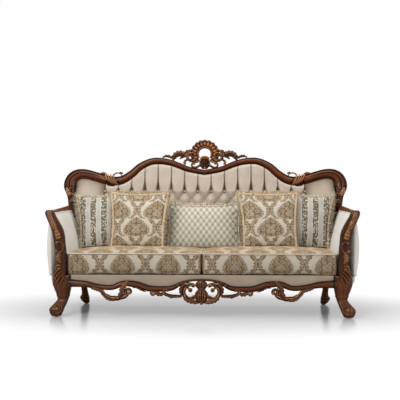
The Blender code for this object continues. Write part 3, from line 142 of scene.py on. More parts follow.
def formRelief(mesh, given, rounds=8, size=0.0005):
    # the given value, more where a point stands further over the smoothed form than the points round it do;
    # the carved wood's material paints shade where it is low, in the hollows, and gilt with painted highlight
    # where it is high, on the ridges
    count = len(mesh.vertices)
    points, normals = np.empty(count * 3, np.float32), np.empty(count * 3, np.float32)
    edges = np.empty(len(mesh.edges) * 2, np.int32)
    mesh.vertices.foreach_get("co", points)
    mesh.vertex_normals.foreach_get("vector", normals)
    mesh.edges.foreach_get("vertices", edges)
    points, normals = points.reshape(-1, 3).astype(float), normals.reshape(-1, 3)
    one, two = edges.reshape(-1, 2).T
    valence = np.maximum(np.bincount(one, minlength=count) + np.bincount(two, minlength=count), 1)

    def softened(values):
        # each point moves 0.6 of the way to the mean of its neighbours, several times over
        for _ in range(rounds):
            total = [np.bincount(one, column[two], count) + np.bincount(two, column[one], count)
                     for column in values.T]
            values = 0.4 * values + 0.6 * np.column_stack(total) / valence[:, None]
        return values

    height = ((points - softened(points)) * normals).sum(1)
    return given + 0.55 * np.clip((height - softened(height[:, None])[:, 0]) / size, -1, 1)


def meshOf(name, shape, weld=1e-6, carved=True):
    # quads with their relief and cloth values, welded at the seams, open ends filled, faces turned outwards
    points = shape["points"] + (0, shiftY, 0)
    mesh = bpy.data.meshes.new(name)
    quads = shape["quads"].astype(np.int32)
    mesh.vertices.add(len(points))
    mesh.loops.add(quads.size)
    mesh.polygons.add(len(quads))
    mesh.vertices.foreach_set("co", points.astype(np.float32).ravel())
    mesh.polygons.foreach_set("loop_start", np.arange(0, quads.size, 4, dtype=np.int32))
    mesh.polygons.foreach_set("vertices", quads.ravel())
    mesh.loops.foreach_set("vertex_index", quads.ravel())
    keepValues(mesh, "relief", "FLOAT", shape["relief"])
    keepValues(mesh, "cloth", "FLOAT_VECTOR", shape["cloth"])
    mesh.update(calc_edges=True)
    work = bmesh.new()
    work.from_mesh(mesh)
    bmesh.ops.remove_doubles(work, verts=work.verts, dist=weld)
    bmesh.ops.dissolve_degenerate(work, dist=1e-7, edges=work.edges)
    open_ = [edge for edge in work.edges if edge.is_boundary]
    if open_:
        filled = bmesh.ops.holes_fill(work, edges=open_, sides=0)["faces"]
        bmesh.ops.triangulate(work, faces=filled)
    bmesh.ops.recalc_face_normals(work, faces=work.faces)
    work.to_mesh(mesh)
    work.free()
    mesh.shade_smooth()
    if carved:
        given = np.empty(len(mesh.vertices), np.float32)
        mesh.attributes["relief"].data.foreach_get("value", given)
        mesh.attributes["relief"].data.foreach_set("value", formRelief(mesh, given).astype(np.float32))
    return mesh


def keepValues(mesh, name, kind, values):
    # one number or three for every point, kept on the mesh for its material to read
    store = mesh.attributes.new(name, kind, "POINT").data
    store.foreach_set("value" if kind == "FLOAT" else "vector", values.astype(np.float32).ravel())


def addPiece(name, shape, material, body="frame", nodes=(), fill=None, carved=True):
    # a finished piece on its body, in place of its CAD nodes; with a fill its relief is kept as given instead
    # of being raised on its carved form
    piece = bpy.data.objects.new(name, meshOf(name, shape, carved=carved and fill is None))
    bpy.context.scene.collection.objects.link(piece)
    piece.data.materials.append(materials[material])
    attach(piece, body)
    if nodes:
        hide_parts(*nodes)
    return piece


def sideName(side):
    # the side as it stands in names
    return "left" if side < 0 else "right"


def addPairs(*rows):
    # for each side, one piece per row of name, shape, material, the node that it replaces, and its fill
    for side in (-1, 1):
        for name, shape, material, node, fill in rows:
            label = sideName(side)
            named = name.replace("SIDE", label) if "SIDE" in name else name + "_" + label
            addPiece(named, flipped(shape, side), material, nodes=[node + "_" + label] if node else (),
                     fill=fill)


# materials

def srgb(r, g, b):
    # screen colour from 0 to 255 as a linear one
    c = np.array([r, g, b]) / 255
    return tuple(np.where(c <= 0.04045, c / 12.92, ((c + 0.055) / 1.055) ** 2.4)) + (1.0,)


class Wire:
    # one value in a node tree, so that a pattern can be written as a formula
    def __init__(self, tree, socket):
        self.tree, self.socket = tree, socket

    def run(self, operation, *others, clamp=False):
        # one math node, each input linked to a wire or set to a number
        node = self.tree.nodes.new("ShaderNodeMath")
        node.operation, node.use_clamp = operation, clamp
        for place, value in zip(node.inputs, (self,) + others):
            plug(self.tree, place, value)
        return Wire(self.tree, node.outputs[0])

    def constant(self, value):
        # a number as a wire
        node = self.tree.nodes.new("ShaderNodeValue")
        node.outputs[0].default_value = value
        return Wire(self.tree, node.outputs[0])

    def __add__(self, other): return self.run("ADD", other)
    def __sub__(self, other): return self.run("SUBTRACT", other)
    def __rsub__(self, other): return self.constant(other).run("SUBTRACT", self)
    def __mul__(self, other): return self.run("MULTIPLY", other)
    def __truediv__(self, other): return self.run("DIVIDE", other)
    def __pow__(self, other): return self.run("POWER", other)
    def sin(self): return self.run("SINE")
    def cos(self): return self.run("COSINE")
    def size(self): return self.run("ABSOLUTE")
    def floor(self): return self.run("FLOOR")
    def fraction(self): return self.run("FRACT")
    def clamped(self): return self.run("ADD", 0.0, clamp=True)
    def least(self, other): return self.run("MINIMUM", other)
    def most(self, other): return self.run("MAXIMUM", other)

    def ease(self, low, high):
        # 0 at low, 1 at high
        node = self.tree.nodes.new("ShaderNodeMapRange")
        node.interpolation_type = "SMOOTHSTEP"
        self.tree.links.new(self.socket, node.inputs["Value"])
        node.inputs["From Min"].default_value, node.inputs["From Max"].default_value = low, high
        return Wire(self.tree, node.outputs["Result"])


def plug(tree, place, value):
    # a wire or a socket is linked, anything else is set
    if isinstance(value, Wire):
        value = value.socket
    if isinstance(value, bpy.types.NodeSocket):
        tree.links.new(value, place)
    else:
        place.default_value = value


def plugAll(tree, node, **values):
    # each named input of a node, an underscore standing for a space
    for label, value in values.items():
        plug(tree, node.inputs[label.replace("_", " ")], value)


def newGroup(name, inputs, outputs):
    # a node group whose numbers, vectors and colours are told by their first values; it gives its inputs as
    # wires
    tree = bpy.data.node_groups.new(name, "ShaderNodeTree")
    for label, value in inputs.items():
        kind = "Float" if isinstance(value, float) else {3: "Vector", 4: "Color"}[len(value)]
        socket = tree.interface.new_socket(label, in_out="INPUT", socket_type="NodeSocket" + kind)
        socket.default_value = value
    for label in outputs:
        kind = "NodeSocketColor" if label == "Color" else "NodeSocketFloat"
        tree.interface.new_socket(label, in_out="OUTPUT", socket_type=kind)
    given = tree.nodes.new("NodeGroupInput")
    return tree, {label: Wire(tree,
                              given.outputs[label]) for label in inputs}, tree.nodes.new("NodeGroupOutput")


def texture(tree, kind, vector, output="Fac", **values):
    # a noise or cell texture as a wire
    node = tree.nodes.new("ShaderNodeTex" + kind)
    plugAll(tree, node, Vector=vector, **values)
    return Wire(tree, node.outputs[output])


def scaled(tree, vector, scale):
    # a vector with each part multiplied
    node = tree.nodes.new("ShaderNodeMapping")
    plugAll(tree, node, Scale=scale, Vector=vector)
    return node.outputs["Vector"]


def splitXY(tree, vector):
    # the first two parts of a vector as wires
    parts = tree.nodes.new("ShaderNodeSeparateXYZ")
    plug(tree, parts.inputs[0], vector)
    return Wire(tree, parts.outputs["X"]), Wire(tree, parts.outputs["Y"])


def mixColors(tree, factor, first, second):
    # from the first colour to the second as the factor goes from 0 to 1
    node = tree.nodes.new("ShaderNodeMix")
    node.data_type = "RGBA"
    for place, value in ((node.inputs[0], factor), (node.inputs[6], first), (node.inputs[7], second)):
        plug(tree, place, value)
    return node.outputs[2]


def objectPlace(tree):
    # coordinates on the object itself
    return tree.nodes.new("ShaderNodeTexCoord").outputs["Object"]


def makeWoodGroup():
    # long grain; painted shade in the recesses; gilt on the high spots, partly real gilding and partly
    # painted highlight
    inputs = {"Relief": 0.5, "Gilding": 0.5, "ShadeAndGrain": srgb(34, 15, 9), "Body": srgb(92, 44, 22),
              "GiltAndHighlight": srgb(196, 132, 78), "Grain": 1.0}
    tree, given, result = newGroup("woodFinish", inputs, ["Color", "Roughness", "Metal", "Height"])
    place = objectPlace(tree)
    fibre = texture(tree, "Noise", scaled(tree, place, (22, 90, 90)), Scale=1.0, Detail=6.0, Roughness=0.65)
    cloud = texture(tree, "Noise", place, Scale=7.0, Detail=3.0)
    speck = texture(tree, "Noise", place, Scale=190.0, Detail=4.0)
    # low relief mixes in the dark colour as painted shade, and the grain's noise as real dark streaks
    body = (given["Relief"] * 0.85 + fibre * 0.45 + cloud * 0.35 - 0.30).ease(0.0, 0.80)
    # high relief gives gilt, partly real gilding and partly painted highlight
    giltAndHighlight = given["Relief"] + (speck - 0.5) * 0.40 + (cloud - 0.5) * 0.5
    giltAndHighlight = giltAndHighlight.ease(0.46, 1.0) * given["Gilding"]
    color = mixColors(tree, body, given["ShadeAndGrain"], given["Body"])
    plugAll(tree, result, Color=mixColors(tree, giltAndHighlight, color, given["GiltAndHighlight"]),
            Roughness=speck * 0.12 + giltAndHighlight * 0.12 + 0.22,
            Metal=giltAndHighlight * 0.45, Height=fibre * given["Grain"] + speck * 0.4)
    return tree


def makeWeaveGroup():
    # crossed threads from two waves, with slubs, and a soft cloudiness over the cloth
    tree, given, result = newGroup("weave", {"Place": (0, 0, 0), "Thread": 0.0011, "Slub": 0.4},
                                   ["Height", "Shade"])
    x, y = splitXY(tree, given["Place"])
    warp, weft = (x / given["Thread"] * math.pi).sin(), (y / given["Thread"] * math.pi).sin()
    slub = texture(tree, "Noise", scaled(tree, given["Place"], (60, 900, 300)), Scale=1.0, Detail=2.0)
    cloud = texture(tree, "Noise", given["Place"], Scale=9.0, Detail=4.0)
    fuzz = texture(tree, "Noise", given["Place"], Scale=420.0, Detail=2.0)
    threads = (warp * weft) * 0.25 + 0.5
    plugAll(tree, result, Height=threads + slub * given["Slub"] + fuzz * 0.5,
            Shade=(cloud * 0.7 + fuzz * 0.3 + threads * 0.2).ease(0.25, 0.95))
    return tree


def ring(u, v, radius, line):
    # 1 on a circle of the given radius, fading over the line's width
    return ((u * u + v * v) ** 0.5 - radius).size().ease(line, line * 0.35)


def makeDamaskGroup():
    # half-drop onion medallions with ragged edges, wide and low, drawn in to a crown; filigree inside them
    # and
    # two lobed stems that cross half way between; pale ogee bands stay free round each medallion
    inputs = {"Place": (0, 0, 0), "Width": 0.33, "Tall": 0.30, "Share": 0.28, "Lace": 0.5}
    tree, given, result = newGroup("damask", inputs, ["Motif", "Fine"])
    place = given["Place"]
    wander = (texture(tree, "Noise", place, Scale=55.0, Detail=2.0) - 0.5) * 0.010
    flatX, flatY = splitXY(tree, place)
    x, y = (flatX + wander) / given["Width"], (flatY - wander) / given["Tall"]
    curl = 0.038
    cellX, cellY = (flatX.size() + wander * 1.6) / curl, (flatY + wander * 2.2) / curl
    column = cellX.floor() * 0.5
    u, v = cellX.fraction() - 0.5, (cellY + column).fraction() - 0.5
    filigree = ring(u, v, 0.33, 0.13).most((u.size() + v.size()).ease(0.20, 0.08))

    def medallion(shiftX, shiftV):
        # half width follows a skewed sine less small teeth, over a height t from 0 at the foot to 1 at the
        # crown
        px = ((x + shiftX).fraction() - 0.5).size()
        t = (y + shiftV).fraction() * 1.9
        wide = (((t.least(1.0) ** 0.56) * math.pi).sin().most(0.0) ** 0.62) * given["Share"]
        wide = wide - (t * 31.0).sin().size() * 0.022 + t.ease(0.86, 0.96) * t.ease(1.12, 1.0) * 0.030
        border = (wide - px - 0.040).size().ease(0.014, 0.004)
        heart = ring(px * 1.5, t - 0.30, 0.110, 0.030).most(ring(px * 1.2, t - 0.30, 0.045, 0.020))
        crown = (px * 1.6 - (t - 0.44).size() * 0.9).size().ease(0.030, 0.010) * (t - 0.54).size().ease(0.16,
            0.08)
        inside = (wide - px).ease(-0.002, 0.010)
        thread = border.most(filigree * 0.85).most(heart).most(crown) * inside
        return inside, thread, (wide + t.ease(1.1, 1.0) * 0.058 - px).ease(0.0, 0.01)

    def sprays(shiftX, shiftV):
        # two stems at a distance that grows with the square of the height, with lobes, a vein and curled
        # hooks
        qx = ((x + shiftX).fraction() - 0.5).size()
        qy = (y + shiftV).fraction() * 1.9 - 0.48
        stem = qx - (qy * qy * 0.62 + 0.020) - 0.012
        leaf = (stem.size() - ((qy * 20.0 + 0.6).sin().size() * 0.044 + 0.020)).ease(0.010, -0.002)
        vein = stem.size().ease(0.012, 0.004)
        hook = ring(qx - 0.105, qy.size() - 0.30, 0.042, 0.030).most(ring(qx - 0.150, qy - 0.44, 0.026,
            0.022))
        inside = qy.size().ease(0.60, 0.50)
        return leaf.most(hook) * inside, vein.most(filigree * 0.7) * leaf * inside

    firstMotif, firstThread, firstArea = medallion(0.0, 0.0)
    secondMotif, secondThread, secondArea = medallion(0.5, 0.5)
    (oneSpray, oneVein), (otherSpray, otherVein) = sprays(0.5, 0.0), sprays(0.0, 0.5)
    outside = 1.0 - firstArea.most(secondArea)
    motif = firstMotif.most(secondMotif).most(oneSpray.most(otherSpray) * outside)
    thread = firstThread.most(secondThread).most(oneVein.most(otherVein) * outside)
    ragged = texture(tree, "Noise", place, Scale=260.0, Detail=3.0)
    motif = (motif + (ragged - 0.5) * 0.6).ease(0.24, 0.66) * (1.0 - thread * given["Lace"])
    fine = texture(tree, "Voronoi", place, "Distance", Scale=170.0)
    plugAll(tree, result, Motif=motif, Fine=fine.ease(0.15, 0.60))
    return tree


def makeLatticeGroup():
    # ogee net: the lines are where two cosines cancel, the domes where they add up
    inputs = {"Place": (0, 0, 0), "Width": 0.0445, "Tall": 0.059}
    tree, given, result = newGroup("ogeeLattice", inputs, ["Line", "Dome"])
    x, y = splitXY(tree, given["Place"])
    x, y = x / given["Width"] * (2 * math.pi), y / given["Tall"] * (2 * math.pi)
    net = (x.cos() + y.cos() * 0.95 + (x.sin() * x.sin()) * y.sin() * 0.30).size()
    plugAll(tree, result, Line=net.ease(0.24, 0.05), Dome=net.ease(0.2, 1.8))
    return tree


def makeStripeGroup():
    # broad plain stripes beside stripes filled with small scales, light in their middles
    tree, given, result = newGroup("stripes", {"Place": (0, 0, 0), "Repeat": 0.082}, ["Band", "Net", "Edge"])
    wander = (texture(tree, "Noise", given["Place"], Scale=14.0, Detail=2.0) - 0.5) * 0.012
    x = splitXY(tree, given["Place"])[0] + wander
    across = ((x / given["Repeat"] + 0.5).fraction() - 0.5).size()
    cells = texture(tree, "Voronoi", given["Place"], "Distance", Scale=72.0, Randomness=0.7)
    plugAll(tree, result, Band=across.ease(0.31, 0.24), Net=cells.ease(0.25, 0.58),
            Edge=(across - 0.295).size().ease(0.028, 0.010))
    return tree


groups = {"wood": makeWoodGroup(), "weave": makeWeaveGroup(), "damask": makeDamaskGroup(),
          "lattice": makeLatticeGroup(), "stripes": makeStripeGroup()}


def placeGroup(tree, group, **values):
    # a node group with its inputs plugged; it gives its outputs as wires
    node = tree.nodes.new("ShaderNodeGroup")
    node.node_tree = groups[group]
    plugAll(tree, node, **values)
    return {output.name: Wire(tree, output) for output in node.outputs}


def newMaterial(name, **values):
    # a material with one shader, its constant values set
    made = bpy.data.materials.new(name)
    made.use_nodes = True
    shader = made.node_tree.nodes["Principled BSDF"]
    plugAll(made.node_tree, shader, **values)
    return made, made.node_tree, shader


def addBump(tree, shader, height, strength, distance):
    # a height turned into the shader's normal
    bump = tree.nodes.new("ShaderNodeBump")
    plugAll(tree, bump, Strength=strength, Distance=distance, Height=height)
    plug(tree, shader.inputs["Normal"], bump.outputs["Normal"])


def attributeNode(tree, name):
    # reads a value kept on the mesh
    node = tree.nodes.new("ShaderNodeAttribute")
    node.attribute_name = name
    return node


def woodMaterial(name, gilding, body, dark, gilt=(196, 132, 78), coat=0.5, relief=True):
    # polished wood; the relief kept on the mesh says where shade is painted dark and where gilt goes on,
    # partly real gilding and partly painted highlight
    made, tree, shader = newMaterial(name, Coat_Weight=coat, Coat_Roughness=0.10, Specular_IOR_Level=0.12)
    values = {"Gilding": gilding, "ShadeAndGrain": srgb(*dark), "Body": srgb(*body), "GiltAndHighlight": srgb(*gilt)}
    if relief:
        values["Relief"] = attributeNode(tree, "relief").outputs["Fac"]
    wood = placeGroup(tree, "wood", **values)
    plugAll(tree, shader, Base_Color=wood["Color"], Roughness=wood["Roughness"], Metallic=wood["Metal"])
    addBump(tree, shader, wood["Height"], 0.25, 0.0006)
    return made


def clothMaterial(name, light, dark, sheen=0.25, rough=0.82, attribute=True, bump=0.35, fold=None):
    # woven cloth; with a fold colour it darkens where the relief is low: painted shade in the back's tuft
    # folds and by the frame, and darker strands in the fringes
    made, tree, shader = newMaterial(name, Sheen_Weight=sheen, Sheen_Roughness=0.45, Specular_IOR_Level=0.3,
                                     Roughness=rough)
    place = attributeNode(tree, "cloth").outputs["Vector"] if attribute else objectPlace(tree)
    weave = placeGroup(tree, "weave", Place=place)
    color = mixColors(tree, weave["Shade"], srgb(*dark), srgb(*light))
    if fold:
        foldShadeAndDarkStrands = Wire(tree, attributeNode(tree, "relief").outputs["Fac"]).ease(0.0, 0.42)
        color = mixColors(tree, foldShadeAndDarkStrands, srgb(*fold), color)
    plugAll(tree, shader, Base_Color=color)
    addBump(tree, shader, weave["Height"], bump, 0.0005)
    return made, tree, shader, place, weave, color


def patterned(name, light, dark, sheen, rough, group, **values):
    # cloth with the pattern of one of the groups
    made, tree, shader, place, weave, color = clothMaterial(name, light, dark, sheen, rough)
    return made, tree, shader, weave, color, placeGroup(tree, group, Place=place, **values)


def damaskMaterial(name, ground, motif, width, tall, share, lace):
    # woven figures on the cloth's ground; seen flat, the pile glows golden
    made, tree, shader, weave, color, figure = patterned(
        name, ground, [c * 0.90 for c in ground], 0.45, 0.82, "damask", Width=width, Tall=tall, Share=share,
        Lace=lace)
    shader.inputs["Sheen Tint"].default_value = srgb(238, 196, 138)
    inked = mixColors(tree, figure["Fine"], srgb(*[c * 0.72 for c in motif]), srgb(*motif))
    plugAll(tree, shader, Base_Color=mixColors(tree, figure["Motif"], color, inked),
            Roughness=figure["Motif"] * -0.22 + 0.74)
    addBump(tree, shader, figure["Motif"] * 1.2 + weave["Height"] * 0.5, 0.4, 0.0008)
    return made


def latticeMaterial():
    # pale net whose lines are dark; each dome keeps its own colour in the middle as a painted highlight and
    # is darker towards the lines as painted shade
    made, tree, shader, weave, color, net = patterned(
        "latticeCloth", (212, 207, 192), (188, 183, 166), 0.3, 0.55, "lattice")
    domeLightAndShade = mixColors(tree, net["Dome"], srgb(178, 171, 150), color)
    plugAll(tree, shader, Base_Color=mixColors(tree, net["Line"], domeLightAndShade, srgb(122, 114, 94)))
    addBump(tree, shader, net["Dome"] * 1.5 + weave["Height"] * 0.4, 0.5, 0.0015)
    return made


def stripedMaterial():
    # satin stripes beside scaled ones, with a pale line at each edge
    made, tree, shader, weave, color, stripe = patterned(
        "stripedCloth", (192, 187, 177), (152, 148, 137), 0.3, 0.5, "stripes")
    netted = mixColors(tree, stripe["Net"], srgb(196, 188, 168), srgb(92, 82, 58))
    color = mixColors(tree, stripe["Band"], color, netted)
    plugAll(tree, shader, Base_Color=mixColors(tree, stripe["Edge"], color, srgb(198, 198, 192)))
    addBump(tree, shader, stripe["Net"] * 0.8 + weave["Height"] * 0.5, 0.4, 0.001)
    return made


def speckledMaterial(name, scale, detail, dark, light, **values):
    # a shader whose colour runs between two with a fine noise, given back with that noise
    made, tree, shader = newMaterial(name, **values)
    speck = texture(tree, "Noise", objectPlace(tree), Scale=scale, Detail=detail)
    plugAll(tree, shader, Base_Color=mixColors(tree, speck, srgb(*dark), srgb(*light)))
    return made, tree, shader, speck


# each row: material name, gilding, body colour, dark colour (painted shade and dark grain), gilt colour (real
# gilt and painted highlight), coat, and whether the mesh's relief is read
woods = {
    "walnut": ("walnutGloss", 0.30, (110, 55, 16), (17, 7, 3), (150, 90, 48), 0.20),
    "carved": ("carvedGilt", 1.0, (98, 50, 17), (20, 9, 4), (180, 124, 76), 0.12),
    "sideWood": ("sideRailWalnut", 0.0, (98, 47, 23), (34, 15, 9), (196, 132, 78), 0.2, False),
    "innerWood": ("bareFrameWood", 0.0, (176, 138, 92), (120, 88, 54), (196, 132, 78), 0.0, False)}

# back, arms and front band are one velvet: the arms' colours are a lighter copy, painted light, and the
# band's a darker copy, painted shade; the back's fold colour is painted shade in its folds and the fringes'
# fold colour their darker strands
cloths = {
    "backCloth": ("backSatin", (196, 182, 165), (168, 152, 135), 0.35, 0.52, {"fold": (104, 84, 62)}),
    "armCloth": ("armSatin", (226, 221, 213), (206, 199, 190), 0.3, 0.66, {}),
    "bandCloth": ("bandSatin", (160, 144, 126), (136, 120, 103), 0.25, 0.7, {}),
    "plainBack": ("plainBackCloth", (190, 176, 160), (168, 152, 136), 0.2, 0.85, {}),
    "deck": ("deckCloth", (64, 60, 56), (44, 41, 38), 0.1, 0.9, {"attribute": False}),
    "piping": ("pipingCloth", (200, 188, 168), (168, 152, 128), 0.3, 0.7, {}),
    "armPiping": ("armPipingCloth", (222, 216, 207), (198, 190, 180), 0.3, 0.7, {}),
    "tanFringe": ("tanFringe", (214, 194, 162), (184, 158, 120), 0.3, 0.7,
                  {"bump": 0.2, "fold": (128, 98, 62)}),
    "paleFringe": ("paleFringe", (230, 218, 192), (200, 182, 148), 0.3, 0.7,
                   {"bump": 0.2, "fold": (146, 122, 84)}),
    "button": ("buttonCloth", (204, 188, 164), (168, 150, 126), 0.3, 0.5, {})}


def makeMaterials():
    # woods and cloths from their rows, then the patterned cloths, the glides' nylon and the springs' steel
    made = {key: woodMaterial(*row) for key, row in woods.items()}
    for key, (name, light, dark, sheen, rough, more) in cloths.items():
        made[key] = clothMaterial(name, light, dark, sheen, rough, **more)[0]
    made["seatDamask"] = damaskMaterial("seatDamask", (180, 170, 153), (104, 79, 42), 0.331, 0.300, 0.290,
                                        0.54)
    made["pillowDamask"] = damaskMaterial("pillowDamask", (204, 195, 178), (122, 94, 53), 0.300, 0.262, 0.36,
                                          0.58)
    made["lattice"], made["striped"] = latticeMaterial(), stripedMaterial()
    made["nylon"], tree, shader, speck = speckledMaterial("glideNylon", 260.0, 3.0, (26, 24, 23),
        (52, 48, 45),
                                                          Roughness=0.55)
    addBump(tree, shader, speck, 0.2, 0.0004)
    made["springSteel"], tree, shader, speck = speckledMaterial("springSteel", 180.0, 4.0, (96, 96, 100),
                                                                (170, 170, 174), Metallic=1.0)
    plugAll(tree, shader, Roughness=speck * 0.3 + 0.25)
    return made


materials = makeMaterials()
print("materials ready")


# shapes shared by all carved wood

def coilRows(centre, radii, turns, widths, y, tall=1.0, count=64):
    # radius falls from the first to the second value as the angle runs from the first to the second turn
    t = np.linspace(0, 1, count)
    angle = np.radians(turns[0] + (turns[1] - turns[0]) * t)
    r = radii[0] + (radii[1] - radii[0]) * t ** 0.9
    return np.column_stack([centre[0] + r * np.cos(angle), centre[1] + tall * r * np.sin(angle),
                            widths[0] + (widths[1] - widths[0]) * t, np.full(count, y)])


def tubeGrid(rows, size, flat=1.0, count=60, around=18, ridges=4, ridgeDepth=0.28, beads=0, beadDepth=0.2,
             twist=0.5,
             smooth=True):
    # round section carried along rows of x, height, width share and depth, closed at both ends by a quarter
    # circle;
    # sines of the angle sink the ridges that run along it, and sines of the length the beads across it
    rows = smoothRows(rows, count) if smooth else np.asarray(rows, float)
    s = np.linspace(0, 1, len(rows))[:, None]
    phi = circle(around)
    way = directions(rows[:, :2])
    ends = np.clip(np.minimum(s, 1 - s) * len(rows) / 3.0, 0.02, 1)
    r = size * rows[:, 2:3] * np.sqrt(1 - (1 - ends) ** 2)
    r = r * (1 - (ridgeDepth * np.abs(np.sin(ridges * (phi + twist * s) / 2)) ** 0.6 if ridges else 0))
    r = r * (1 - (beadDepth * (1 - np.abs(np.sin(math.pi * beads * s)) ** 0.7) if beads else 0))
    x = rows[:, 0:1] - way[:, 1:2] * r * np.cos(phi)
    z = rows[:, 1:2] + way[:, 0:1] * r * np.cos(phi)
    return np.stack([x, rows[:, 3:4] - flat * r * np.sin(phi), z], -1)


def leafGrid(rows, size, dome=0.010, back=0.006, lobes=5, count=62, across=23, cut=0.42):
    # a closed leaf along a spine: its half width rises and falls with the lobes, its face is a dome with
    # a midrib and a valley between each two lobes
    rows = smoothRows(rows, count)
    way = directions(rows[:, :2])
    s = np.linspace(0, 1, count)[:, None]
    v = np.linspace(-1, 1, across)[None, :]
    fold = np.abs(np.sin(math.pi * lobes * (s - 0.06 * np.abs(v)))) ** 0.6 if lobes else 1 + 0 * s * v
    w = size * rows[:, 2:3] * (1 - cut * (1 - fold) * np.abs(v)) * np.clip((1 - s) * 9, 0.03, 1) ** 0.5
    reach = v * w * np.clip(s * 9, 0.1, 1) ** 0.5
    midrib = 0.34 * np.exp(-(v / 0.11) ** 2)
    face = dome * rows[:, 2:3] * ((1 - np.abs(v) ** 1.8) * (0.50 + 0.50 * fold) + midrib)
    x = rows[:, 0:1] - way[:, 1:2] * reach
    z = rows[:, 1:2] + way[:, 0:1] * reach
    front = np.stack([x, rows[:, 3:4] - face, z], -1)
    rear = np.stack([x, rows[:, 3:4] + back + 0 * x, z], -1)
    return np.concatenate([front, rear[:, ::-1]], 1)


def ballGrid(centre, radius, flat=1.0, count=14, around=20):
    # circles from pole to pole, each as wide as the sine of its angle
    a = np.linspace(0.02, math.pi - 0.02, count)[:, None]
    phi = circle(around)
    return np.stack([centre[0] + radius * np.sin(a) * np.cos(phi),
                     centre[1] - flat * radius * np.cos(a) + 0 * phi,
                     centre[2] + radius * np.sin(a) * np.sin(phi)], -1)


def ornament(parts, turned=lambda grid: grid, unit=1.0, origin=(0, 0)):
    # carved parts as surfaces: each part is its kind, its rows, its size and what else its shape needs
    shapes = []
    for kind, rows, size, more in parts:
        # a part's relief sets its colour on the carved wood: low values paint shade, high ones gilt with
        # painted highlight
        relief = more.get("relief", 0.75 if kind == "ball" else 0.40)
        more = {key: value for key, value in more.items() if key != "relief"}
        if kind == "ball":
            grid = ballGrid((rows[0] * unit + origin[0], rows[2], rows[1] * unit + origin[1]), size, **more)
        else:
            if kind == "coil":
                rows, more = coilRows(*rows), dict(more, smooth=False)
            rows = np.array(rows, float) * (unit, unit, 1, 1) + (origin[0], origin[1], 0, 0)
            grid = (leafGrid if kind == "leaf" else tubeGrid)(rows, size, **more)
        shapes.append(surface(turned(grid), relief))
    return shapes


# back frame, from its middle out, round the shoulder and down to the seat:
# x over the half width, rise over the back's rise, half width over the widest
backLine = [
    (0.000, 0.864, 0.38), (0.111, 0.892, 0.40), (0.191, 0.932, 0.43), (0.248, 0.957, 0.46),
    (0.321, 0.971, 0.49), (0.385, 0.963, 0.51), (0.457, 0.918, 0.55), (0.514, 0.853, 0.59),
    (0.571, 0.803, 0.63), (0.618, 0.786, 0.66), (0.660, 0.787, 0.68), (0.714, 0.802, 0.70),
    (0.784, 0.830, 0.71), (0.845, 0.849, 0.74), (0.897, 0.846, 0.82), (0.934, 0.818, 0.92),
    (0.952, 0.772, 1.00), (0.954, 0.728, 1.00), (0.951, 0.690, 0.80), (0.946, 0.640, 0.58),
    (0.941, 0.566, 0.50), (0.935, 0.498, 0.48), (0.910, 0.340, 0.48), (0.880, 0.136, 0.50),
    (0.853, -0.050, 0.51)]
frameParts = {"wrapCentre": 0.660, "wrapHalf": 0.0215, "joint": 0.718, "gap": 0.0003, "edgeGap": 0.0016}


def frameLine():
    # the line in metres with its direction, and the length along it
    rows = smoothRows(np.array(backLine) * (back["halfWidth"], back["rise"], back["railHalf"]), 900)
    return np.column_stack([rows, directions(rows[:, :2])]), arcOf(rows[:, :2])


frameRows, frameArc = frameLine()


def frameStretch(start, end, count):
    # even steps of the line between two lengths along it
    return columnsAt(np.linspace(start, end, count), frameArc, frameRows)


def frameMarks():
    # arc lengths where the wrap starts and ends and where the shoulder meets the post
    top = int(np.argmax(frameRows[:, 0]))
    half = back["halfWidth"]
    ends = [np.interp((frameParts["wrapCentre"] + k * frameParts["wrapHalf"]) * half, frameRows[:top, 0],
                      frameArc[:top]) for k in (-1, 1)]
    joint = np.interp(-frameParts["joint"] * back["rise"], -frameRows[top:, 1], frameArc[top:])
    return ends[0], ends[1], joint


wrapStart, wrapEnd, jointArc = frameMarks()


def insideEdge():
    # lower or inner edge of the back frame's right half, with room for the wrap
    wide = np.where((frameArc > wrapStart) & (frameArc < wrapEnd), 1.17, 1.0)
    offset = frameRows[:, 2] * wide + frameParts["edgeGap"]
    return frameRows[:, :2] + np.column_stack([frameRows[:, 4], -frameRows[:, 3]]) * offset[:, None]


insideLine = insideEdge()
insideCorner = int(np.argmax(insideLine[:, 0]))


def railTopLine(x):
    # under side of the top rail over a distance from the middle
    return np.interp(np.abs(x), insideLine[:insideCorner, 0], insideLine[:insideCorner, 1])


moulding = {"beadAt": 0.89, "beadHalf": 0.105, "groove": 0.755, "points": 61, "flat": 0.66,
            "middleGroove": 0.12}


def mouldingSection(groove=0.0):
    # across -1 to 1 and depth 0 to 1: a round bead along each edge, a groove inside it and a full crown
    # between,
    # with a second groove near the middle where the shoulder has one
    cut = moulding
    u = np.linspace(-1, 1, cut["points"])
    a = np.abs(u)
    crown = cut["flat"] + (1 - cut["flat"]) * np.clip(1 - (a / 0.76) ** 2.0, 0, 1) ** 0.85
    bead = cut["flat"] - 0.02 + 0.17 * np.sqrt(np.clip(1 - ((a - cut["beadAt"]) / cut["beadHalf"]) ** 2, 0,
        1))
    depth = np.where(a > cut["groove"] + 0.02, bead,
                     crown) - 0.07 * np.exp(-((a - cut["groove"]) / 0.022) ** 2)
    depth = depth - groove * 0.20 * np.exp(-((u - cut["middleGroove"]) / 0.080) ** 2)
    u = np.concatenate([u, [1, 1, 0.4, -0.4, -1, -1]])
    depth = np.concatenate([depth, [0.35, 0.02, 0.0, 0.0, 0.02, 0.35]])
    return u, depth


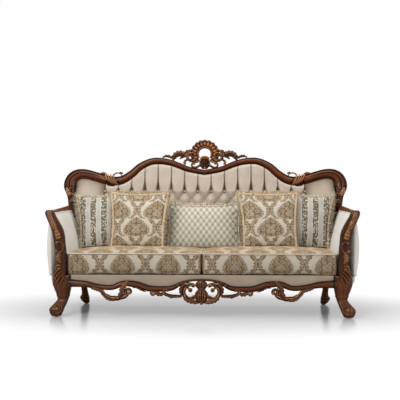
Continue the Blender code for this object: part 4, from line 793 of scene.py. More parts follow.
def mouldingSweep(path, rear, front, groove=None):
    # path rows hold x, height, half width and direction; rear and front are depths
    path = np.asarray(path)
    if groove is None:
        u, depth = mouldingSection()
        depth = np.broadcast_to(depth, (len(path), len(u)))
    else:
        u = mouldingSection()[0]
        depth = np.stack([mouldingSection(g)[1] for g in groove])
    reach = path[:, 2:3] * u
    x = path[:, 0:1] - path[:, 4:5] * reach
    z = path[:, 1:2] + path[:, 3:4] * reach
    return np.stack([x, rear + (front - rear) * depth, z], -1)


def mouldingTone(high, low, dark=0.0):
    # light along the crown and darker towards both edges, a painted shade; dark follows the groove as painted
    # shade in it
    u = mouldingSection()[0]
    tone = low + (high - low) * (1 - smoothStep(0.42, 0.80, np.abs(u)))
    tone[moulding["points"]:] = low
    return tone[None, :] - np.reshape(dark, (-1,
                                             1)) * np.exp(-((u - moulding["middleGroove"]) / 0.16) ** 2)[None,
                                             :]


def bothHalves(half):
    # the right half of a path with its mirror image before it
    left = half[:0:-1].copy()
    left[:, 0] *= -1
    left[:, 4] *= -1
    return np.vstack([left, half])


def makeTopRail():
    # the moulding swept along the line's middle, as far as both wraps
    rail = mouldingSweep(bothHalves(frameStretch(0, wrapStart, 110)), back["rear"], back["front"])
    addPiece("topRailCarved", surface(onBack(rail), mouldingTone(0.46, -0.12)), "walnut", nodes=["top_rail"])


valleyWrap = {
    "ribbons": 4, "top": (0.745, 0.757), "topStep": 0.0205, "bottom": (0.700, 0.662),
    "bottomStep": (0.0175, 0.0050),
    "radius": 0.0048, "parts": [
        ("tube", [(0.744, 0.742, 0.9, -0.010), (0.734, 0.760, 1.0, -0.010), (0.710, 0.768, 1.0, -0.008),
                  (0.686, 0.761, 0.9, -0.006),
                  (0.674, 0.742, 0.8, -0.004)], 0.0072, {"ridges": 3, "relief": 0.62}),
        ("leaf", [(0.698, 0.764, 0.5, -0.006), (0.684, 0.770, 1.0, -0.008), (0.666, 0.762, 0.5, -0.006)],
         0.008, {"lobes": 2}),
        ("leaf", [(0.798, 0.750, 0.5, -0.010), (0.816, 0.762, 1.0, -0.008), (0.838, 0.765, 0.9, -0.006),
                  (0.866, 0.757, 0.3, -0.004)],
         0.012, {"lobes": 4, "relief": 0.62})]}


def makeValleyWraps():
    # a thickened length of the rail, crossed on the slant by ribbons that follow its crown
    cut = valleyWrap
    path = frameStretch(wrapStart + frameParts["gap"], wrapEnd - frameParts["gap"], 40)
    wrap = mouldingSweep(path * (1, 1, 1.05, 1, 1), back["rear"], back["front"])
    parts = list(cut["parts"])
    for k in range(cut["ribbons"]):
        (topX, topZ), (lowX, lowZ) = cut["top"], cut["bottom"]
        topX += k * cut["topStep"]
        lowX += k * cut["bottomStep"][0]
        lowZ += k * cut["bottomStep"][1]
        t = np.linspace(0, 1, 6)
        bow = 0.008 * np.sin(math.pi * t)
        depth = -0.012 - 0.020 * np.sin(math.pi * np.clip(t * 1.05, 0, 1)) ** 0.7
        rows = np.column_stack([topX + (lowX - topX) * t ** 1.3 + bow, topZ + (lowZ - topZ) * t,
                                np.array([1.3, 1.2, 1.0, 1.0, 1.0, 0.7]), depth])
        parts.append(("tube", rows, cut["radius"], {"ridges": 0, "flat": 1.5, "relief": 0.75}))
    # the thickened rail under the ribbons is given a low relief, painted shade between the ribbons
    whole = merged([surface(onBack(wrap), -0.25)] + ornament(parts, onBack))
    addPairs(("valleyWrapCarved", whole, "carved", "valley_wrap", None))


shoulder = [
    ("leaf", [(1.084, 0.566, 0.5, -0.034), (1.098, 0.592, 1.0, -0.040), (1.113, 0.620, 0.9, -0.036),
              (1.125, 0.650, 0.4, -0.024)],
     0.017, {"lobes": 3, "dome": 0.016, "relief": 0.80}),
    ("leaf", [(1.084, 0.566, 0.5, -0.032), (1.074, 0.592, 0.9, -0.036), (1.066, 0.622, 0.8, -0.032),
              (1.066, 0.650, 0.3, -0.026)],
     0.010, {"lobes": 3, "relief": 0.55}),
    ("tube", [(1.088, 0.575, 0.6, -0.018), (1.084, 0.540, 1.15, -0.018), (1.080, 0.505, 1.2, -0.018),
              (1.076, 0.470, 0.9, -0.018),
              (1.074, 0.440, 0.7, -0.018)], 0.027, {"ridges": 8, "relief": 0.10}),
    ("ball", (1.068, 0.530, -0.038), 0.0180, {"relief": 0.60}),
    ("leaf", [(1.094, 0.520, 0.5, -0.044), (1.088, 0.490, 1.0, -0.046), (1.080, 0.462, 0.4, -0.036)], 0.011,
     {"lobes": 3})]


def makeShoulders():
    # the groove between the two bands deepens round the corner; below the joint the post carries leaves and
    # a knob
    path = frameStretch(wrapEnd, jointArc - frameParts["gap"], 110)
    groove = 2.0 * smoothStep(0.10, 0.45, np.linspace(0, 1, len(path)))
    corner = mouldingSweep(path, back["rear"], back["front"], groove)
    # the tone's dark along the deepening groove is painted shade
    corner = surface(onBack(corner), mouldingTone(0.46, -0.12, 0.32 * groove))
    post = onBack(mouldingSweep(frameStretch(jointArc, frameArc[-1], 90), back["rear"], back["front"]))
    post[..., 2] = np.maximum(post[..., 2], seat["railTop"] + 0.0004)
    whole = merged([surface(post, mouldingTone(0.30, -0.10))] + ornament(shoulder, onBack))
    addPairs(("shoulderCarved", corner, "walnut", "back_shoulder", None),
             ("backPostCarved", whole, "carved", "back_post", None))


crest = {
    "rise": 0.9240, "outer": 0.120, "hole": 0.050, "flutes": 13, "depth": 0.046, "open": math.radians(34),
    "middle": [
        ("tube", [(0.00, -0.30, 1.6, 0), (0.00, -0.42, 2.7, 0), (0.00, -0.60, 3.2, 0), (0.00, -0.78, 3.0, 0),
                  (0.00, -0.92, 2.2, 0),
                  (0.00, -1.04, 1.2, 0)], 0.0150, {"flat": 0.55, "ridges": 16, "ridgeDepth": 0.16, "beads": 6,
                  "around": 64,
                                                   "count": 80, "twist": 0, "relief": 0.22}),
        ("leaf", [(-0.28, -0.44, 0.8, -0.018), (-0.20, -0.31, 1.0, -0.022), (0, -0.26, 1.1, -0.026),
                  (0.20, -0.31, 1.0, -0.022),
                  (0.28, -0.44, 0.8, -0.018)], 0.0115, {"lobes": 0, "dome": 0.012, "relief": 0.85}),
        ("ball", (0, -0.62, -0.022), 0.012, {"relief": 0.2}), ("ball", (0, -0.98, -0.016), 0.010, {})],
    "sides": [
        ("coil", ((0.84, -0.14), (0.40, 0.34), (105, -160), (0.8, 1.1), -0.018, 1.0, 90), 0.0165,
         {"flat": 1.2, "beads": 7, "twist": 1.0, "around": 24, "ridges": 5}),
        ("coil", ((0.84, -0.14), (0.24, 0.08), (-30, 420), (1.0, 0.7), -0.030, 0.80, 80), 0.0115,
         {"ridges": 3, "relief": 0.30}),
        ("tube", [(0.94, -0.42, 0.8, -0.006), (0.72, -0.52, 1.1, -0.008), (0.50, -0.50, 1.1, -0.008),
                  (0.34, -0.40, 0.8, -0.006)],
         0.0130, {"ridges": 4, "beads": 5}),
        ("tube", [(0.22, -0.66, 0.7, -0.006), (0.42, -0.84, 0.9, -0.006), (0.66, -0.94, 0.9, -0.006),
                  (0.86, -0.84, 0.8, -0.006),
                  (0.84, -0.66, 0.7, -0.006), (0.68, -0.62, 0.8, -0.008)], 0.0125, {}),
        ("tube", [(1.08, -0.38, 0.7, -0.004), (1.26, -0.42, 0.9, -0.004), (1.38, -0.55, 1.0, -0.004),
                  (1.36, -0.74, 0.7, -0.004)], 0.0120, {}),
        ("ball", (0.72, -0.66, -0.014), 0.0125, {}), ("ball", (1.34, -0.66, -0.010), 0.011, {}),
        ("leaf", [(1.12, 0.30, 0.5, -0.010), (1.26, 0.16, 1.0, -0.012), (1.30, -0.06, 0.9, -0.010),
                  (1.24, -0.26, 0.5, -0.006)], 0.010,
         {"lobes": 4}),
        ("leaf", [(1.16, -0.16, 0.7, 0), (1.42, 0.00, 0.9, -0.002), (1.70, 0.05, 1.1, -0.002),
                  (1.96, -0.04, 1.05, 0),
                  (2.12, -0.22, 0.85, 0), (2.20, -0.38, 0.6, 0)], 0.0250,
                  {"lobes": 7, "dome": 0.022, "count": 96, "across": 33, "cut": 0.32}),
        ("leaf", [(1.34, -0.16, 0.6, 0), (1.54, -0.20, 1.0, 0), (1.70, -0.34, 0.5, 0)], 0.011, {"lobes": 3}),
        ("tube", [(2.02, -0.30, 0.8, -0.002), (2.18, -0.42, 0.9, -0.002), (2.14, -0.30, 0.6, -0.004)], 0.0095,
         {"ridges": 3}),
        ("leaf", [(2.18, -0.30, 0.7, 0), (2.40, -0.16, 1.0, 0), (2.64, -0.12, 0.95, 0),
                  (2.86, -0.20, 0.45, 0)], 0.0125, {"lobes": 4}),
        ("ball", (2.82, -0.20, -0.004), 0.0085, {})]}


def shellGrid():
    # fan of flutes: the radius steps out with each scallop, ridges rise towards the rim and sink between
    c = crest
    turn = np.linspace(-c["open"], math.pi + c["open"], c["flutes"] * 14 + 1)
    flute = np.abs(np.sin(math.pi * c["flutes"] * (turn - turn[0]) / (turn[-1] - turn[0])))[:, None]
    q = np.linspace(0, 1, 22)[None, :]
    outer = c["outer"] * (0.925 + 0.075 * flute ** 0.5)
    radius = c["hole"] + (outer - c["hole"]) * q
    body = 0.30 + 0.30 * np.sin(math.pi * q ** 0.8) - 0.12 * q
    front = c["depth"] * (body + (flute ** 0.7 - 0.5) * 0.34 * smoothStep(0.02, 0.5, q))
    front = front * np.where(q > 0.97, 0.75, 1.0)
    angle = turn[:, None] * np.ones_like(q)
    face = np.stack([radius * np.cos(angle), -front, c["rise"] + radius * np.sin(angle)], -1)
    rear = face[:, ::-1].copy()
    rear[..., 1] = c["depth"] * 0.30
    # dark between the flutes as painted shade, light on their ridges as gilt with painted highlight
    tone = 0.08 + 0.62 * flute ** 3 * smoothStep(0.05, 0.3, q)
    return np.concatenate([face, rear], 1), np.concatenate([tone, 0 * tone], 1)


def makeCrest():
    # the shell with a smooth ring round its opening and a fine line before its rim, the bud below, both
    # sides
    c = crest
    turn = np.linspace(-c["open"], math.pi + c["open"], 90)
    grid, tone = shellGrid()
    shapes = [surface(onBack(grid), tone)]
    for share, radius, y, relief in ((1.10 * c["hole"], 0.0076, -0.022, 0.48),
                                     (0.82 * c["outer"], 0.0034, -0.0245, 0.0)):
        line = np.column_stack([share * np.cos(turn), c["rise"] + share * np.sin(turn), 0 * turn + 1,
                                0 * turn + y])
        shapes.append(surface(onBack(tubeGrid(line, radius, 1.2, 90, 12, 0, smooth=False)), relief))
    shapes += ornament(c["middle"], onBack, c["outer"], (0, c["rise"]))
    for side in (-1, 1):
        shapes += [flipped(shape, side) for shape in ornament(c["sides"], onBack, c["outer"], (0, c["rise"]))]
    addPiece("crestCarved", merged(shapes), "carved", nodes=["crest_cartouche"])


# legs and arm posts: height share, inner, outer, front and back face in shares of the piece's own size

def squareSections(shares, x, y, width, depth, low, height, count, around, square):
    # rounded squares stacked up, from cosine and sine to a power below one; the angle starts at the outer
    # face
    rows = smoothRows(shares, count, 1)
    phi = circle(around)
    xs, ys = np.cos(phi), np.sin(phi)
    xs = np.sign(xs) * np.abs(xs) ** (2 / square)
    ys = np.sign(ys) * np.abs(ys) ** (2 / square)
    midX, halfX = (rows[:, 1:2] + rows[:, 2:3]) / 2, (rows[:, 2:3] - rows[:, 1:2]) / 2
    midY, halfY = (rows[:, 3:4] + rows[:, 4:5]) / 2, (rows[:, 4:5] - rows[:, 3:4]) / 2
    grid = np.stack([x + width * (midX + halfX * xs), y + depth * (midY + halfY * ys),
                     low + height * rows[:, 0:1] * np.ones_like(xs)], -1)
    return grid, phi


def swollen(grid, size):
    # every section pushed outwards by its own size
    outward = grid - grid.mean(1, keepdims=True)
    outward[..., 2] = 0
    outward /= np.maximum(np.linalg.norm(outward, axis=-1, keepdims=True), 1e-6)
    return grid + outward * size[..., None]


def bump(z, at, width):
    # a bell round one height
    return np.exp(-((z - at) / width) ** 2)


frontLeg = {
    "x": 1.020, "y": -0.380, "size": 0.140,
    "shares": [(0.021, 0.014, 0.514, -0.464, 0.014), (0.100, -0.071, 0.593, -0.586, 0.036),
               (0.200, -0.157, 0.614, -0.614, 0.086), (0.285, -0.229, 0.464, -0.464, 0.164),
               (0.403, -0.314, 0.257, -0.271, 0.264), (0.503, -0.371, 0.271, -0.286, 0.321),
               (0.638, -0.443, 0.379, -0.393, 0.414), (0.789, -0.493, 0.486, -0.493, 0.486),
               (0.906, -0.500, 0.500, -0.500, 0.500), (1.000, -0.500, 0.464, -0.471, 0.500)]}


def blade(spots, width=0.9, y=(-0.450, -0.456, -0.450, -0.440)):
    # a narrow leaf through four spots, widest at the second and third
    widths = (0.5 * width, width, width, 0.35 * width)
    return ("leaf", [(x, z, w, depth) for (x, z), w, depth in zip(spots, widths, y)], 0.0115,
            {"lobes": 2, "dome": 0.010, "cut": 0.2, "relief": 0.50})


frontLegLeaf = [
    blade([(1.010, 0.352), (1.036, 0.340), (1.058, 0.314), (1.068, 0.286)]),
    blade([(1.004, 0.336), (1.028, 0.318), (1.050, 0.288), (1.058, 0.256)], 1.0),
    blade([(0.998, 0.318), (1.018, 0.296), (1.038, 0.264), (1.042, 0.228)], 1.0,
          (-0.450, -0.456, -0.454, -0.438)),
    blade([(0.992, 0.302), (1.004, 0.274), (1.018, 0.242), (1.020, 0.198)], 1.0,
          (-0.450, -0.456, -0.450, -0.430)),
    ("coil", ((0.992, 0.292), (0.026, 0.010), (100, -230), (1.0, 0.7), -0.450), 0.0070,
     {"ridges": 3, "relief": 0.30}),
    ("coil", ((1.047, 0.064), (0.036, 0.010), (150, 560), (0.9, 0.5), -0.456, 1.0, 100), 0.0130,
     {"ridges": 3, "relief": 0.30}),
    ("ball", (1.047, 0.064, -0.462), 0.0105, {})]


def frontLightShare(phi):
    # 1 on the face to the front, 0 on the sides and the back; used as relief, it paints light on the front
    # and shade on the sides
    return np.clip(-np.sin(phi), 0, 1) ** 2


def makeFrontLegs():
    # a smooth knee with two lines at the collar; the leaf on the knee and the scroll on the foot are laid
    # on
    cut = frontLeg
    grid, phi = squareSections(cut["shares"], cut["x"], cut["y"], cut["size"], cut["size"], 0.0003,
                               seat["railTop"] - 0.0003,
                               150, 80, 2.8)
    # the relief is lighter on the front face, a painted highlight, and darker on the sides, a painted shade
    leg = surface(swollen(grid, 0.0030 * bump(grid[..., 2], 0.150, 0.010)), 0.16 + 0.32 * frontLightShare(phi))
    addPairs(("frontLegCarved", merged([leg] + ornament(frontLegLeaf)), "carved", "front_leg", None))


rearLeg = {
    "x": 0.985, "y": 0.208, "size": 0.056,
    "shares": [(0.021, -0.95, -0.15, 0.55, 1.35), (0.090, -0.98, 0.20, 0.45, 1.38),
               (0.170, -0.95, 0.38, 0.38, 1.30),
               (0.270, -0.86, 0.10, 0.20, 1.05), (0.450, -0.74, 0.12, -0.10, 0.72),
               (0.700, -0.60, 0.34, -0.38, 0.50),
               (1.000, -0.50, 0.50, -0.58, 0.45)]}


def makeRearLegs():
    # plain raked legs with two fine rings above the foot
    cut = rearLeg
    grid, phi = squareSections(cut["shares"], cut["x"], cut["y"], cut["size"], cut["size"], 0.0003,
                               seat["railTop"] - 0.0003,
                               90, 40, 3.2)
    z = grid[..., 2]
    rings = 0.0025 * bump(z, 0.060, 0.004) + 0.0022 * bump(z, 0.090, 0.003)
    addPairs(("rearLegTurned", surface(swollen(grid, rings), 0.38), "walnut", "rear_leg", None))


armPost = {
    "x": 1.018, "y": -0.4125, "width": 0.078, "depth": 0.065, "height": 0.477,
    "shares": [(0.000, -0.487, 0.769, -0.55, 0.50), (0.066, -0.487, 0.769, -0.55, 0.50),
               (0.115, -0.490, 0.590, -0.50, 0.50), (0.213, -0.474, 0.462, -0.48, 0.50),
               (0.289, -0.449, 0.513, -0.50, 0.50), (0.402, -0.410, 0.590, -0.52, 0.50),
               (0.499, -0.346, 0.667, -0.50, 0.50), (0.639, -0.256, 0.820, -0.48, 0.50),
               (0.738, -0.050, 1.000, -0.50, 0.50), (0.822, 0.230, 1.218, -0.50, 0.50),
               (0.906, 0.538, 1.436, -0.48, 0.50), (0.962, 0.692, 1.513, -0.44, 0.50),
               (1.000, 0.859, 1.372, -0.30, 0.44)]}


armPostParts = [
    ("leaf", [(1.104, 0.776, 0.7, -0.440), (1.098, 0.745, 1.0, -0.446), (1.082, 0.700, 1.0, -0.448),
              (1.062, 0.655, 0.9, -0.448),
              (1.050, 0.628, 0.4, -0.446)], 0.0205, {"lobes": 2, "dome": 0.014, "cut": 0.12, "relief": 0.66}),
    ("leaf", [(1.030, 0.555, 0.7, -0.446), (1.036, 0.588, 1.0, -0.450), (1.046, 0.620, 0.8, -0.448),
              (1.056, 0.652, 0.25, -0.446)],
     0.0225, {"lobes": 4, "dome": 0.018, "relief": 0.68}),
    ("coil", ((1.028, 0.508), (0.030, 0.029), (50, 325), (0.9, 1.0), -0.448, 1.35), 0.0095,
     {"beads": 6, "relief": 0.35}),
    ("ball", (1.046, 0.540, -0.450), 0.0085, {}), ("ball", (1.050, 0.482, -0.450), 0.0075, {}),
    ("leaf", [(1.018, 0.468, 0.6, -0.446), (1.032, 0.444, 1.0, -0.450), (1.030, 0.415, 0.8, -0.448),
              (1.016, 0.388, 0.3, -0.444)],
     0.0185, {"lobes": 4, "dome": 0.016, "relief": 0.66}),
    ("coil", ((1.034, 0.352), (0.024, 0.008), (130, -250), (1.0, 0.7), -0.448, 1.1), 0.0085,
     {"relief": 0.45}),
    ("ball", (1.034, 0.352, -0.450), 0.0075, {})]


def makeArmPosts():
    # a dark S-curved post with a beaded line along its inner edge; its front carries, from the top, a
    # smooth
    # leaf, a flame leaf, a ring open to the outside, a small leaf and a scroll
    cut = armPost
    grid, phi = squareSections(cut["shares"], cut["x"], cut["y"], cut["width"], cut["depth"],
                               seat["railTop"] + 0.0003,
                               cut["height"], 130, 48, 4.2)
    rows = np.array(cut["shares"])
    z = np.linspace(0.330, 0.748, 40)
    inner = cut["x"] + cut["width"] * np.interp((z - seat["railTop"]) / cut["height"], rows[:, 0], rows[:, 1])
    beaded = [(x + 0.0075, h, 1.0, cut["y"] - 0.5 * cut["depth"]) for x, h in zip(inner, z)]
    beads = {"count": 300, "around": 10, "ridges": 0, "beads": 46, "beadDepth": 0.45, "relief": -0.10}
    parts = armPostParts + [("tube", beaded, 0.0076, beads)]
    # the relief is lighter on the front face, a painted highlight, and darker on the sides, a painted shade
    whole = merged([surface(grid, 0.02 + 0.30 * frontLightShare(phi))] + ornament(parts))
    addPairs(("armPostCarved", whole, "carved", "arm_post", None))


armRail = {"x": 1.102, "radius": 0.022, "top": 0.772, "rise": 0.026, "bow": 0.017, "frontY": -0.4125}


def backDepth(z, w):
    # y of the back at a height and a distance in front of its plane
    return back["baseY"] + (z - back["baseZ"]) * math.tan(back["recline"]) - w / math.cos(back["recline"])


def makeArmRails():
    # an oval section with two grooves, swept back along the bowed line
    cut = armRail
    length = backDepth(cut["top"], 0) - cut["frontY"]
    start = 0.058 / length
    end = (backDepth(cut["top"], back["rear"] * -1 + 0.004) - cut["frontY"]) / length
    t = start + (end - start) * np.linspace(0, 1, 90)[:, None]
    phi = circle(44)
    groove = sum(bump(np.angle(np.exp(1j * (phi - math.radians(at)))), 0, 0.10) for at in (22, 158))
    r = cut["radius"] * (1 + 0.03 * np.cos(4 * phi)) * (1 - 0.13 * groove)
    x = cut["x"] + cut["bow"] * np.sin(math.pi * t) - cut["bow"] * t + r * np.cos(phi)
    z = cut["top"] - cut["radius"] + cut["rise"] * t ** 2 + r * np.sin(phi)
    y = cut["frontY"] + t * length + 0 * phi
    addPairs(("armRailMoulded", surface(np.stack([x, y, z], -1), 0.46), "walnut", "arm_rail", None))


apron = {
    "half": 0.950, "drop": 0.187, "top": 0.279, "widest": 0.029, "frontY": -0.446, "thick": 0.027,
    "line": [(0.000, 0.037, 0.24), (0.068, 0.056, 0.24), (0.116, 0.102, 0.31), (0.156, 0.176, 0.45),
             (0.226, 0.353, 0.62), (0.314, 0.390, 0.69), (0.401, 0.369, 0.76), (0.488, 0.235, 0.83),
             (0.567, 0.182, 0.74), (0.619, 0.225, 0.72), (0.689, 0.345, 0.64), (0.795, 0.305, 0.66),
             (0.884, 0.214, 0.78), (1.016, 0.176, 1.00)],
    "cartouche": 0.170}
apronSide = [
    ("tube", [(0.744, 0.205, 0.7, -0.432), (0.724, 0.188, 0.9, -0.434), (0.700, 0.160, 1.0, -0.436),
              (0.664, 0.141, 1.05, -0.436),
              (0.620, 0.137, 1.05, -0.436), (0.580, 0.144, 1.0, -0.436), (0.550, 0.158, 1.0, -0.436),
              (0.532, 0.174, 1.0, -0.436)],
     0.0195, {"count": 110, "around": 28, "ridges": 5, "twist": 1.2, "beads": 4, "beadDepth": 0.10,
              "flat": 0.8}),
    ("coil", ((0.526, 0.186), (0.026, 0.009), (-60, 300), (1.0, 0.8), -0.438), 0.0150,
     {"relief": 0.25, "flat": 0.8}),
    ("ball", (0.521, 0.181, -0.448), 0.0125, {}),
    ("leaf", [(0.524, 0.266, 0.3, -0.444), (0.542, 0.250, 0.8, -0.447), (0.560, 0.228, 1.0, -0.448),
              (0.576, 0.204, 0.9, -0.446),
              (0.586, 0.176, 0.5, -0.442)], 0.0215, {"lobes": 6, "dome": 0.012, "relief": 0.45}),
    ("leaf", [(0.556, 0.205, 0.5, -0.446), (0.578, 0.178, 1.0, -0.448), (0.594, 0.150, 0.8, -0.448),
              (0.602, 0.126, 0.3, -0.444)],
     0.0180, {"lobes": 5}),
    ("leaf", [(0.708, 0.166, 0.4, -0.446), (0.690, 0.144, 1.0, -0.448), (0.654, 0.128, 1.0, -0.448),
              (0.612, 0.126, 0.5, -0.446)],
     0.0110, {"lobes": 5}),
    ("leaf", [(0.806, 0.213, 0.4, -0.438), (0.776, 0.208, 0.9, -0.440), (0.744, 0.199, 1.0, -0.440),
              (0.716, 0.184, 0.5, -0.438)],
     0.0150, {"lobes": 5, "back": 0.012}),
    ("leaf", [(0.500, 0.214, 0.4, -0.442), (0.470, 0.216, 0.8, -0.444), (0.436, 0.200, 0.9, -0.444),
              (0.396, 0.184, 0.4, -0.442)],
     0.0075, {"lobes": 5, "relief": 0.35}),
    ("coil", ((0.348, 0.176), (0.017, 0.006), (60, -300), (1.0, 0.8), -0.438), 0.0115, {}),
    ("leaf", [(0.340, 0.186, 0.5, -0.438), (0.316, 0.172, 1.0, -0.440), (0.290, 0.168, 0.9, -0.440),
              (0.268, 0.180, 0.4, -0.438)],
     0.0160, {"lobes": 4, "back": 0.012}),
    ("coil", ((0.262, 0.192), (0.016, 0.006), (200, -120), (1.0, 0.8), -0.440), 0.0105, {}),
    ("tube", [(0.284, 0.190, 0.7, -0.434), (0.258, 0.168, 1.0, -0.436), (0.222, 0.158, 1.0, -0.436),
              (0.182, 0.154, 1.0, -0.436),
              (0.140, 0.156, 0.9, -0.436)], 0.0145, {"relief": 0.30}),
    ("leaf", [(0.250, 0.164, 0.4, -0.444), (0.222, 0.152, 1.0, -0.446), (0.186, 0.152, 0.6, -0.444)], 0.0120,
     {"lobes": 3})]
apronMiddle = [
    ("tube", [(0, 0.276, 0.9, -0.433), (0, 0.262, 1.9, -0.433), (0, 0.244, 3.1, -0.433),
              (0, 0.224, 2.7, -0.433), (0, 0.205, 2.1, -0.433),
              (0, 0.190, 2.5, -0.433), (0, 0.168, 3.6, -0.433), (0, 0.146, 3.7, -0.433),
              (0, 0.126, 2.9, -0.433),
              (0, 0.110, 1.7, -0.433), (0, 0.098, 0.8, -0.433)], 0.0150,
     {"flat": 0.42, "count": 140, "around": 64, "ridges": 18, "ridgeDepth": 0.16, "beads": 5,
      "beadDepth": 0.16, "twist": 0, "relief": 0.24}),
    ("ball", (0, 0.205, -0.448), 0.0105, {"relief": 0.5}), ("ball", (0, 0.104, -0.438), 0.0110,
        {"relief": 0.5})]
apronVolute = [
    ("coil", ((0.083, 0.188), (0.046, 0.046), (140, -140), (1.0, 1.0), -0.434, 1.12, 100), 0.0185,
     {"flat": 0.8, "ridges": 5, "twist": 1.5, "beads": 6, "beadDepth": 0.1}),
    ("tube", [(0.040, 0.232, 0.8, -0.436), (0.066, 0.238, 1.0, -0.438), (0.094, 0.226, 1.0, -0.440),
              (0.096, 0.204, 0.9, -0.440)],
     0.0100, {"ridges": 3}),
    ("ball", (0.080, 0.199, -0.438), 0.0165, {"relief": 0.6}),
    ("leaf", [(0.112, 0.244, 0.5, -0.444), (0.138, 0.226, 1.0, -0.446), (0.150, 0.196, 1.0, -0.446),
              (0.142, 0.162, 0.5, -0.444)],
     0.0140, {"lobes": 5, "back": 0.012}),
    ("leaf", [(0.132, 0.152, 0.5, -0.442), (0.104, 0.130, 1.0, -0.444), (0.066, 0.116, 1.0, -0.444),
              (0.018, 0.106, 0.5, -0.442)],
     0.0170, {"lobes": 5, "back": 0.012})]


def apronLine():
    # the apron's middle line in metres, with its half width and its direction
    rows = np.array(apron["line"]) * (apron["half"], -apron["drop"], apron["widest"])
    rows = smoothRows(rows + (0, apron["top"], 0), 500)
    return np.column_stack([rows, directions(rows[:, :2])])


apronRows = apronLine()


def apronStretch(start, end, count):
    # even steps across of that line
    return columnsAt(np.linspace(start, end, count), apronRows[:, 0], apronRows)


def makeApron():
    # the moulded rail with its scrolls and leaves, and the pierced piece in its middle
    cut = apron
    rear, tone = cut["frontY"] + cut["thick"], mouldingTone(0.42, -0.05)
    rail = mouldingSweep(apronStretch(cut["cartouche"] + frameParts["gap"], 0.966, 130), rear, cut["frontY"])
    addPairs(("apronRailCarved", merged([surface(rail, tone)] + ornament(apronSide)), "carved", "apron_rail",
              None))
    half = bothHalves(apronStretch(0, cut["cartouche"] - frameParts["gap"], 40))
    shapes = [surface(mouldingSweep(half, rear, cut["frontY"]), tone)] + ornament(apronMiddle)
    for side in (-1, 1):
        shapes += [flipped(shape, side) for shape in ornament(apronVolute)]
    addPiece("apronCartoucheCarved", merged(shapes), "carved", nodes=["apron_cartouche"])


makeTopRail()
makeValleyWraps()
makeShoulders()
makeCrest()
makeFrontLegs()
makeRearLegs()
makeArmPosts()
makeArmRails()
makeApron()
print("carved wood ready")


# upholstery

def ringed(grid):
    # a grid with its outermost points once more round it
    return np.pad(grid, ((1, 1), (1, 1), (0, 0)), mode="edge")


def slabShape(front, rear, cloth, turned=lambda grid: grid, relief=0.5):
    # the front grid with one more ring of points round it, at a rear depth or on a rear grid; the hole
    # behind is
    # filled when the mesh is made
    grid = ringed(front)
    edge = grid * (1, 0, 1) + (0, rear, 0) if np.isscalar(rear) else ringed(rear)
    for rows in (0, -1):
        grid[rows], grid[:, rows] = edge[rows], edge[:, rows]
    if np.ndim(relief):
        relief = np.pad(relief, 1, mode="edge")
    return surface(turned(grid), relief, wrap=False, cloth=ringed(cloth))


def flatCloth(a, b):
    # pattern coordinates from two grids of lengths
    return np.stack([a + 0 * b, b + 0 * a, 0 * (a + b)], -1)


def ripple(a, b, scale, seedShift=0.0):
    # a few crossing waves, from -1 to 1, for slack cloth
    a, b, p = a / scale, b / scale, seedShift
    broad = np.sin(a * 9.1 + p) * np.sin(b * 7.3 + 1.7 + p)
    return (broad + 0.6 * np.sin(a * 17.0 + b * 5.0 + p) + 0.4 * np.sin(b * 23.0 - a * 11.0 + 2 * p)) / 2.0


def weltTube(path, radius, twist=0):
    # round cord along a path of points in space; a twisted one has three strands, turned with the length
    path = np.asarray(path)
    way = directions(path)
    up = np.array([0.0, 0.0, 1.0]) + np.array([0.013, 0.021, 0.0])
    side = np.cross(way, up)
    side /= np.maximum(np.linalg.norm(side, axis=1, keepdims=True), 1e-9)
    other = np.cross(side, way)
    phi = circle(12)[..., None]
    s = np.linspace(0, 1, len(path))[:, None, None]
    strands = np.abs(np.cos(1.5 * (phi + twist * 2 * math.pi * s * arcOf(path)[-1])))
    r = radius * (1 - 0.16 * strands) if twist else radius
    return path[:, None] + r * (side[:, None] * np.cos(phi) + other[:, None] * np.sin(phi))


buttonedBack = {"pitch": 0.1065, "rowPitch": 0.0735, "topRow": 0.613, "half": 0.805, "columns": 15,
                "bottom": 0.012,
                "edge": 0.004, "puff": 0.048, "button": 0.0105, "buttonDepth": (0.020, 0.013), "perTuft": 24,
                "rows": 190,
                "buttonRows": 9, "lowestButton": 0.06}


def tuftSwell(x, rise, top):
    # diamonds between crossing fold lines that are deepest at the buttons; above the top row of buttons
    # upright pleats, narrow at the button, wider half way and closed again at the rail
    cut = buttonedBack
    along = x / cut["pitch"] + 0.5
    down = (rise - cut["topRow"]) / (2 * cut["rowPitch"])
    a, b = np.abs(np.sin(math.pi * (along + down))), np.abs(np.sin(math.pi * (along - down)))
    diamond = 0.66 * (a * b) ** 0.40 + 0.34 * np.sqrt((a * a + b * b) / 2) ** 0.8
    t = np.clip((rise - cut["topRow"]) / np.maximum(top - cut["topRow"], 1e-3), 0, 1)
    offset = np.abs(along - np.round(along))
    width = 0.034 + 0.105 * np.exp(-(t / 0.24) ** 2)
    fold = 1 - np.exp(-(offset / width) ** 2.6)
    body = 0.78 + 0.22 * np.sqrt(np.clip(1 - (2 * (offset - 0.5)) ** 2, 0, 1))
    lip = 0.13 * np.exp(-((offset - width * 1.55) / 0.040) ** 2)
    floor = 0.20 * smoothStep(0.20, 0.9, t)
    pleat = floor + (1 - floor) * fold * body + lip
    blend = smoothStep(-0.30, -0.02, (rise - cut["topRow"]) / cut["rowPitch"])
    swell = diamond * (1 - blend) + pleat * blend
    edge = np.clip(np.minimum(top - rise, rise - cut["bottom"]) / (cut["rowPitch"] * 0.40), 0, 1)
    return swell * np.sqrt(1 - (1 - edge) ** 2)


